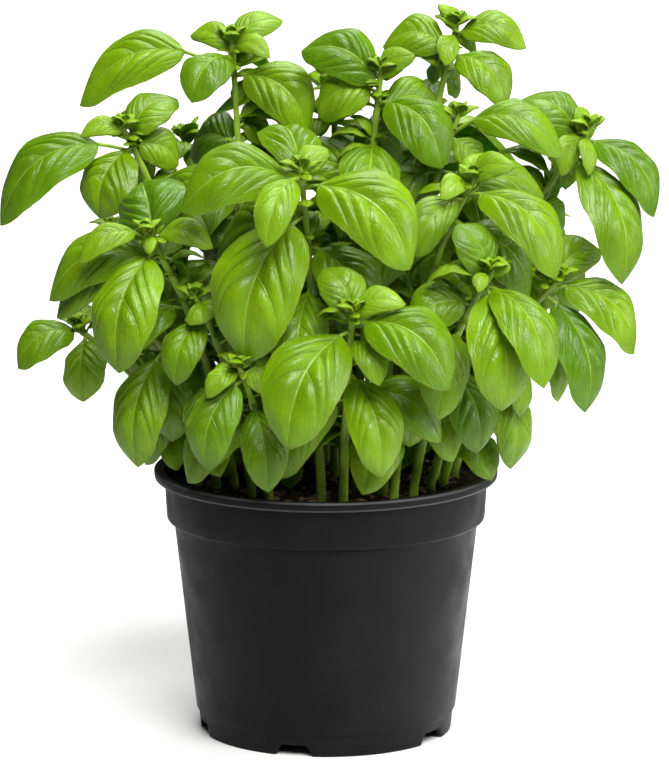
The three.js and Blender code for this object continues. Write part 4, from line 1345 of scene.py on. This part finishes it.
def shaded_group():
    """A colour made lighter and darker by soft random patches: it is multiplied by a grey from
    1 - Spread to 1 + Spread."""
    name = "Shaded colour"
    if name in bpy.data.node_groups:
        return bpy.data.node_groups[name]
    inputs = (("Color", "Color", (1, 1, 1, 1)), ("Spread", "Float", 0.2), ("Scale", "Float", 100.0))
    tree, entry, end = new_group(name, inputs, ("Color", "Color"))
    least = tree.math("SUBTRACT", 1.0, entry["Spread"])
    most = tree.math("ADD", 1.0, entry["Spread"])
    grey = tree.grey(tree.uneven(entry["Scale"], least, most))
    tree.feed(end, tree.mix(1.0, entry["Color"], grey, "MULTIPLY"))
    return tree.tree


def new_finish(name):
    """A new material, its node tree and its surface."""
    material = bpy.data.materials.new(name)
    material.use_nodes = True
    tree = Tree(material.node_tree)
    return material, tree, material.node_tree.nodes["Principled BSDF"]


def leaf_finish(look):
    """Green leaf: its tone by leaf and youth, with painted shade on some listed leaves and painted
    light on others, thin sunken veins drawn by the same count as the swelling between them, painted
    shade in the creases beside them, a net of finer veins, a pale midrib, and lime stalks and
    stems."""
    material, tree, surface = new_finish("basil_leaf_and_stem")
    passed, across, under = tree.attribute("blade")
    youth, tone, veins = tree.attribute("growth")
    reach = tree.math("ABSOLUTE", across)
    phase = tree.times(passed, veins)
    from_vein = tree.math("PINGPONG", phase, 0.5)
    on_blade = tree.ramp(passed, *BLADE_BASE)
    inner = tree.times(on_blade, tree.fall(reach, *VEINS_ACROSS))
    inner = tree.times(inner, tree.fall(passed, *VEINS_ALONG))
    vein = tree.times(tree.fall(from_vein, *VEIN_LINE), inner)
    valley_shade = tree.times(tree.fall(from_vein, *VALLEY_SHADE), inner)
    midrib = tree.times(tree.fall(reach, *MIDRIB_LINE), on_blade)
    cells = zip("XYZ", (phase, across, tone), NET_CELLS)
    cells = {key: tree.times(value, count) for key, value, count in cells}
    cells = tree.add("ShaderNodeCombineXYZ", cells).outputs[0]
    net = tree.add("ShaderNodeTexVoronoi", {"Vector": cells, "Scale": 1.0},
                   feature="DISTANCE_TO_EDGE").outputs["Distance"]
    net = tree.times(tree.fall(net, *NET_LINE), on_blade)

    # Tone runs from deep to mature green; for the listed leaves it carries painted shade and
    # painted light.
    green = tree.mix(tone, look.deep, look.mature)
    green = tree.mix(youth, green, look.young)
    green = tree.shaded(green, spread=0.16, scale=55.0)
    pale = tree.mix(PALE_VEIN, green, look.vein)
    # Painted shade in the creases beside the side veins, less of it on young leaves
    depth = tree.math("MULTIPLY_ADD", youth, YOUNG_VALLEY_SHADE, MARKS["valley_shade"])
    green = tree.mix(tree.times(valley_shade, depth), green, look.deep)
    green = tree.mix(tree.times(net, MARKS["net"]), green, look.deep)
    green = tree.mix(tree.times(vein, MARKS["vein"]), green, pale)
    green = tree.mix(tree.times(midrib, MARKS["midrib"]), green, look.vein)
    green = tree.mix(tree.ramp(reach, *MARGIN_LINE, 0.0, MARKS["margin"]), green, look.vein)
    below = tree.mix(tree.times(vein, PALE_VEIN), look.underside, look.vein)
    green = tree.mix(tree.times(under, MARKS["under"]), green, below)
    stalk_green = tree.shaded(look.stalk, spread=0.22, scale=90.0)
    green = tree.mix(tree.fall(passed, *STALK_TO_BLADE), green, stalk_green)

    least, most = look.roughness - 0.06, look.roughness + 0.08
    rough = tree.uneven(scale=160.0, least=least, most=most)
    rough = tree.math("MULTIPLY_ADD", under, UNDERSIDE_DULLER, rough)
    sunk_or_raised = tree.math("MULTIPLY_ADD", under, 2.0, -1.0)
    lines = tree.math("MAXIMUM", vein, tree.times(midrib, DEPTHS["midrib"]))
    lines = tree.math("MULTIPLY_ADD", net, DEPTHS["net"], lines)
    grain = tree.uneven(scale=1500.0, most=DEPTHS["grain"], detail=2.0)
    height = tree.math("MULTIPLY_ADD", lines, sunk_or_raised, grain)
    tree.dress(surface, green, rough, height, distance=0.0003)
    surface.inputs["IOR"].default_value = 1.5
    surface.inputs["Specular IOR Level"].default_value = 0.42
    surface.inputs["Subsurface Weight"].default_value = 0.4
    surface.inputs["Subsurface Radius"].default_value = (0.6, 1.0, 0.15)
    surface.inputs["Subsurface Scale"].default_value = 0.001
    return material


def rim_edge_highlights(tree):
    """A mask for the painted highlights on the rim's two outer edges, where radius plus height and
    radius less height are greatest."""
    place = tree.place()
    level = tree.add("ShaderNodeVectorMath", {0: place, 1: (1, 1, 0)}, operation="MULTIPLY")
    radius = tree.add("ShaderNodeVectorMath", {0: level.outputs["Vector"]}, operation="LENGTH")
    height = tree.add("ShaderNodeSeparateXYZ", {"Vector": place}).outputs["Z"]
    out = tree.math("SUBTRACT", radius.outputs["Value"], RIM_RADIUS * MM)
    under = tree.math("SUBTRACT", height, POT_HEIGHT * MM)
    upper = tree.ramp(tree.math("ADD", out, under), *RIM_UPPER_HIGHLIGHT)
    lower = tree.ramp(tree.math("SUBTRACT", out, under), *RIM_LOWER_HIGHLIGHT)
    lower = tree.times(lower, tree.ramp(under, *RIM_UNDERSIDE))
    return tree.math("MAXIMUM", upper, lower)


def plastic_finish(look):
    """Moulded black plastic: satin with a fine grain, faint rings from the mould, dust, and painted
    highlights on its rim's two outer edges."""
    material, tree, surface = new_finish("black_moulded_plastic")
    dust = tree.uneven(scale=34.0, most=0.08, detail=6.0)
    black = tree.shaded(look.colour, spread=0.18, scale=26.0)
    # Painted highlights along the rim's two outer edges
    black = tree.mix(rim_edge_highlights(tree), black, look.edge)
    black = tree.mix(dust, black, look.dust)
    least, most = look.roughness - 0.07, look.roughness + 0.1
    rough = tree.uneven(scale=70.0, least=least, most=most, detail=5.0)
    grain = tree.uneven(scale=2200.0, most=0.5, detail=2.0)
    rings = {"Vector": tree.place(), "Scale": 160.0, "Distortion": 1.5}
    rings = tree.add("ShaderNodeTexWave", rings, bands_direction="Z").outputs["Fac"]
    height = tree.math("MULTIPLY_ADD", rings, MOULD_RINGS, grain)
    tree.dress(surface, black, rough, height, distance=0.00008)
    surface.inputs["Specular IOR Level"].default_value = 0.16
    return material


def soil_finish(look):
    """Moist potting mix: nearly black crumbs with brown fibres."""
    material, tree, surface = new_finish("potting_mix")
    brown = tree.mix(tree.uneven(scale=420.0, detail=5.0), look.colour, look.fibre)
    brown = tree.shaded(brown, spread=0.35, scale=130.0)
    rough = tree.uneven(scale=300.0, least=0.75, most=0.98)
    crumbs = tree.uneven(scale=700.0, detail=8.0)
    tree.dress(surface, brown, rough, crumbs, distance=0.0012)
    return material


def chip_finish(look):
    """Bark chips and crumbs: pale bark to the soil's dark brown by chip, with a fine grain."""
    material, tree, surface = new_finish("bark_chips")
    tone = tree.attribute("tone")[0]
    bark = tree.mix(tree.math("POWER", tone, CHIP_POWER), look.colour, look.chip)
    bark = tree.shaded(bark, spread=0.3, scale=600.0)
    rough = tree.uneven(scale=500.0, least=0.7, most=0.95)
    grain = tree.uneven(scale=1200.0, detail=6.0)
    tree.dress(surface, bark, rough, grain, distance=0.0005)
    return material


def floor_finish(look):
    """White paper, as seen by the camera. For the light that it throws back its colour carries
    painted light: it darkens away from the pot and to the left, like a small table with a lit wall
    on its right."""
    material, tree, surface = new_finish("pale_studio_floor")
    pale = tree.shaded(look.floor, spread=0.01, scale=3.0)
    place = tree.place()
    away = tree.add("ShaderNodeVectorMath", {"Vector": place}, operation="LENGTH").outputs["Value"]
    to_right = tree.add("ShaderNodeSeparateXYZ", {"Vector": place}).outputs["X"]
    to_right = tree.ramp(to_right, *BOUNCE_TO_RIGHT)
    lit = tree.grey(tree.times(tree.ramp(away, *BOUNCE_AWAY), to_right))
    seen = tree.add("ShaderNodeLightPath").outputs["Is Camera Ray"]
    rough = tree.uneven(scale=20.0, least=0.7, most=0.85)
    tree.dress(surface, tree.mix(seen, lit, pale), rough)
    return material


# What a user can change


def colour(name, description, value):
    return FloatVectorProperty(name=name, description=description, default=value, size=3,
                               subtype="COLOR", min=0, max=1)


def factor(name, description, value, least, most):
    return FloatProperty(name=name, description=description, default=value, min=least, max=most,
                         subtype="FACTOR")


def whole_number(name, description, value, least, most):
    return IntProperty(name=name, description=description, default=value, min=least, max=most)


def brightness(name, description, value, most=20):
    return FloatProperty(name=name, description=description, default=value, min=0, max=most)


def spot(name, description, value):
    return FloatVectorProperty(name=name, description=description, default=value, size=3,
                               subtype="TRANSLATION", unit="LENGTH")


class BasilLeafLook(bpy.types.PropertyGroup):
    """Leaves and stems"""

    mature: colour("Mature green", "A full grown leaf's upper side", (0.19, 0.35, 0.002))
    # Deep green also gives the painted shade on listed leaves and in the creases beside side veins.
    deep: colour("Deep green", "The darkest leaves", (0.078, 0.19, 0.001))
    young: colour("Young green", "Leaves near the growing tips", (0.25, 0.44, 0.008))
    underside: colour("Underside", "A leaf's underside", (0.19, 0.34, 0.02))
    vein: colour("Vein", "Midribs, side veins and margins", (0.34, 0.54, 0.06))
    stalk: colour("Stalk", "Stems and leaf stalks", (0.29, 0.45, 0.045))
    roughness: factor("Roughness", "How dull the leaves are", 0.26, 0.1, 0.9)
    pucker: factor(
        "Pucker", "How far a blade swells between its veins, as a share of half its width",
        0.105, 0, 0.2)
    thickness: FloatProperty(name="Thickness", description="A blade's thickness at its middle",
                             default=0.0004, min=0.0002, max=0.001, unit="LENGTH", precision=5)


class BasilPotLook(bpy.types.PropertyGroup):
    """Pot"""

    colour: colour("Plastic", "The pot's plastic", (0.0055, 0.0055, 0.006))
    # Edges: the colour of the painted highlights along the rim's two outer edges.
    edge: colour("Edges", "The rim's two outer edges, rubbed pale", (0.08, 0.08, 0.08))
    dust: colour("Dust", "The film of dust on it", (0.04, 0.037, 0.034))
    roughness: factor("Roughness", "How dull the plastic is", 0.38, 0.1, 0.9)
    segments: whole_number("Segments", "Faces round the pot", 280, 60, 720)


class BasilSoilLook(bpy.types.PropertyGroup):
    """Soil"""

    colour: colour("Soil", "Moist soil", (0.012, 0.008, 0.006))
    fibre: colour("Fibre", "Peat fibres in it", (0.055, 0.030, 0.016))
    chip: colour("Bark", "The lightest bark chips", (0.6, 0.36, 0.2))
    chips: whole_number("Chips", "Bark chips on the soil", 380, 0, 2000)
    crumbs: whole_number("Crumbs", "Small crumbs on the soil", 700, 0, 4000)


class BasilStageLook(bpy.types.PropertyGroup):
    """Stage"""

    floor: colour("Floor", "The studio floor", (0.88, 0.88, 0.87))
    sky: brightness("Sky strength", "Light from all round", 0.05, 5)
    key: brightness("Key light", "Strength of the main soft light", 4.5)
    top: brightness("Top light", "Strength of the soft light from behind", 2.4)
    fill: brightness("Fill light", "Strength of the weaker soft light", 1.9)
    camera: spot("Camera", "Where the camera stands", (0.0040, -2.4, 0.640))
    target: spot("Target", "The point that it looks at", (0.0040, 0.0, 0.1604))
    lens: FloatProperty(name="Lens", description="Focal length", default=243.9, min=20, max=600,
                        unit="CAMERA")


# One operator for each kind of piece, and one for the stage

# The floor's reach from the pot, in metres, how wide the soft lights look, and where from
FLOOR_REACH = 40
SOFT_BOX_DEG = 42
KEY_FROM = (0.3, -0.95, 1.25)
FILL_FROM = (1.3, -0.3, 0.15)
TOP_FROM = (0.15, 0.65, 1.3)
SENSOR_WIDTH = 36
SEEN_TO = 100


class BASIL_OT_add_pot(bpy.types.Operator):
    """Adds the pot"""

    bl_idname = "basil.add_pot"
    bl_label = "Add the pot"

    def execute(self, context):
        look = context.scene.basil_pot
        pot = make_mesh("nursery_pot", join_skins([pot_wall(look.segments), pot_floor()]))
        put_in_place(pot, plastic_finish(look), "pot_plastic", "pot")
        return {"FINISHED"}


class BASIL_OT_add_soil(bpy.types.Operator):
    """Adds the soil with its chips and crumbs"""

    bl_idname = "basil.add_soil"
    bl_label = "Add the soil"

    def execute(self, context):
        look = context.scene.basil_soil
        soil = make_mesh("potting_soil", soil_skin())
        put_in_place(soil, soil_finish(look), "potting_soil", "soil")
        finish = chip_finish(look)
        for name, number, (sizes, lightness) in (
            ("bark_chips", look.chips, BARK_CHIPS), ("soil_crumbs", look.crumbs, SOIL_CRUMBS),
        ):
            skin, tones = soil_chips(number, sizes, lightness, SEED + number)
            chips = make_mesh(name, skin, {"tone": tones}, smooth=False)
            put_in_place(chips, finish, "potting_soil", "soil")
        return {"FINISHED"}


class BASIL_OT_add_leafy_stems(bpy.types.Operator):
    """Grows the plant and adds its leafy stems"""

    bl_idname = "basil.add_leafy_stems"
    bl_label = "Add the leafy stems"

    def execute(self, context):
        look = context.scene.basil_leaves
        finish = leaf_finish(look)
        for shoot in grow_plant():
            *skin, attributes = leafy_stem(shoot, look)
            piece = make_mesh(shoot.name.replace("stem", "basil"), skin, attributes)
            put_in_place(piece, finish, "basil_leaf", shoot.name)
        return {"FINISHED"}


class BASIL_OT_add_stage(bpy.types.Operator):
    """Adds the floor, lights and camera"""

    bl_idname = "basil.add_stage"
    bl_label = "Add the stage"

    def execute(self, context):
        look = context.scene.basil_stage
        corners = np.array([[-1, -1, 0], [1, -1, 0], [1, 1, 0], [-1, 1, 0]]) * (FLOOR_REACH / MM)
        floor = make_mesh("floor", (corners, np.array([[0, 1, 2, 3]]), np.zeros((0, 3), int)))
        floor.data.materials.append(floor_finish(look))
        world = bpy.data.worlds.new("studio")
        world.use_nodes = True
        sky = world.node_tree.nodes["Background"].inputs
        sky["Color"].default_value = (1, 1, 1, 1)
        tree = Tree(world.node_tree)
        seen = tree.add("ShaderNodeLightPath").outputs["Is Camera Ray"]
        tree.feed(sky["Strength"], tree.ramp(seen, 0.0, 1.0, look.sky, 1.0))
        context.scene.world = world
        context.scene.view_settings.view_transform = "Standard"
        add_light("key_light", KEY_FROM, look.key)
        add_light("fill_light", FILL_FROM, look.fill)
        add_light("top_light", TOP_FROM, look.top)
        add_camera(context.scene, look)
        return {"FINISHED"}


def add_light(name, direction, strength):
    """A broad far light, as wide in the sky as a large soft box, that shines from a direction."""
    light = bpy.data.lights.new(name, "SUN")
    light.energy = strength
    light.angle = SOFT_BOX_DEG * DEG
    lamp = bpy.data.objects.new(name, light)
    lamp.rotation_euler = facing(direction, (0, 0, 0))
    bpy.context.scene.collection.objects.link(lamp)


def facing(place, target):
    """The turn that points a lamp or a camera from a place at a target."""
    return (Vector(target) - Vector(place)).to_track_quat("-Z", "Y").to_euler()


def add_camera(scene, look):
    """The camera that sees the object as the photo does."""
    data = bpy.data.cameras.new("photo_camera")
    data.lens = look.lens
    data.sensor_width = SENSOR_WIDTH
    data.clip_end = SEEN_TO
    camera = bpy.data.objects.new("photo_camera", data)
    camera.location = look.camera
    camera.rotation_euler = facing(look.camera, look.target)
    scene.collection.objects.link(camera)
    scene.camera = camera


class BASIL_PT_panel(bpy.types.Panel):
    """Lists what can be added and changed"""

    bl_idname = "BASIL_PT_panel"
    bl_label = "Potted basil"
    bl_space_type = "VIEW_3D"
    bl_region_type = "UI"
    bl_category = "Basil"

    def draw(self, context):
        for operator, settings in STEPS:
            look = getattr(context.scene, settings)
            box = self.layout.box()
            box.operator(operator.bl_idname)
            for key in type(look).__annotations__:
                box.prop(look, key)


STEPS = (
    (BASIL_OT_add_pot, "basil_pot"),
    (BASIL_OT_add_soil, "basil_soil"),
    (BASIL_OT_add_leafy_stems, "basil_leaves"),
    (BASIL_OT_add_stage, "basil_stage"),
)
LOOKS = {
    "basil_pot": BasilPotLook,
    "basil_soil": BasilSoilLook,
    "basil_leaves": BasilLeafLook,
    "basil_stage": BasilStageLook,
}
CLASSES = (*LOOKS.values(), *(operator for operator, _ in STEPS), BASIL_PT_panel)


def register():
    for cls in CLASSES:
        bpy.utils.register_class(cls)
    for name, cls in LOOKS.items():
        setattr(bpy.types.Scene, name, PointerProperty(type=cls))


def unregister():
    for name in LOOKS:
        delattr(bpy.types.Scene, name)
    for cls in reversed(CLASSES):
        bpy.utils.unregister_class(cls)


def main():
    """Adds every piece and the stage."""
    register()
    bpy.ops.basil.add_pot()
    bpy.ops.basil.add_soil()
    bpy.ops.basil.add_leafy_stems()
    bpy.ops.basil.add_stage()


if __name__ == "__main__":
    main()
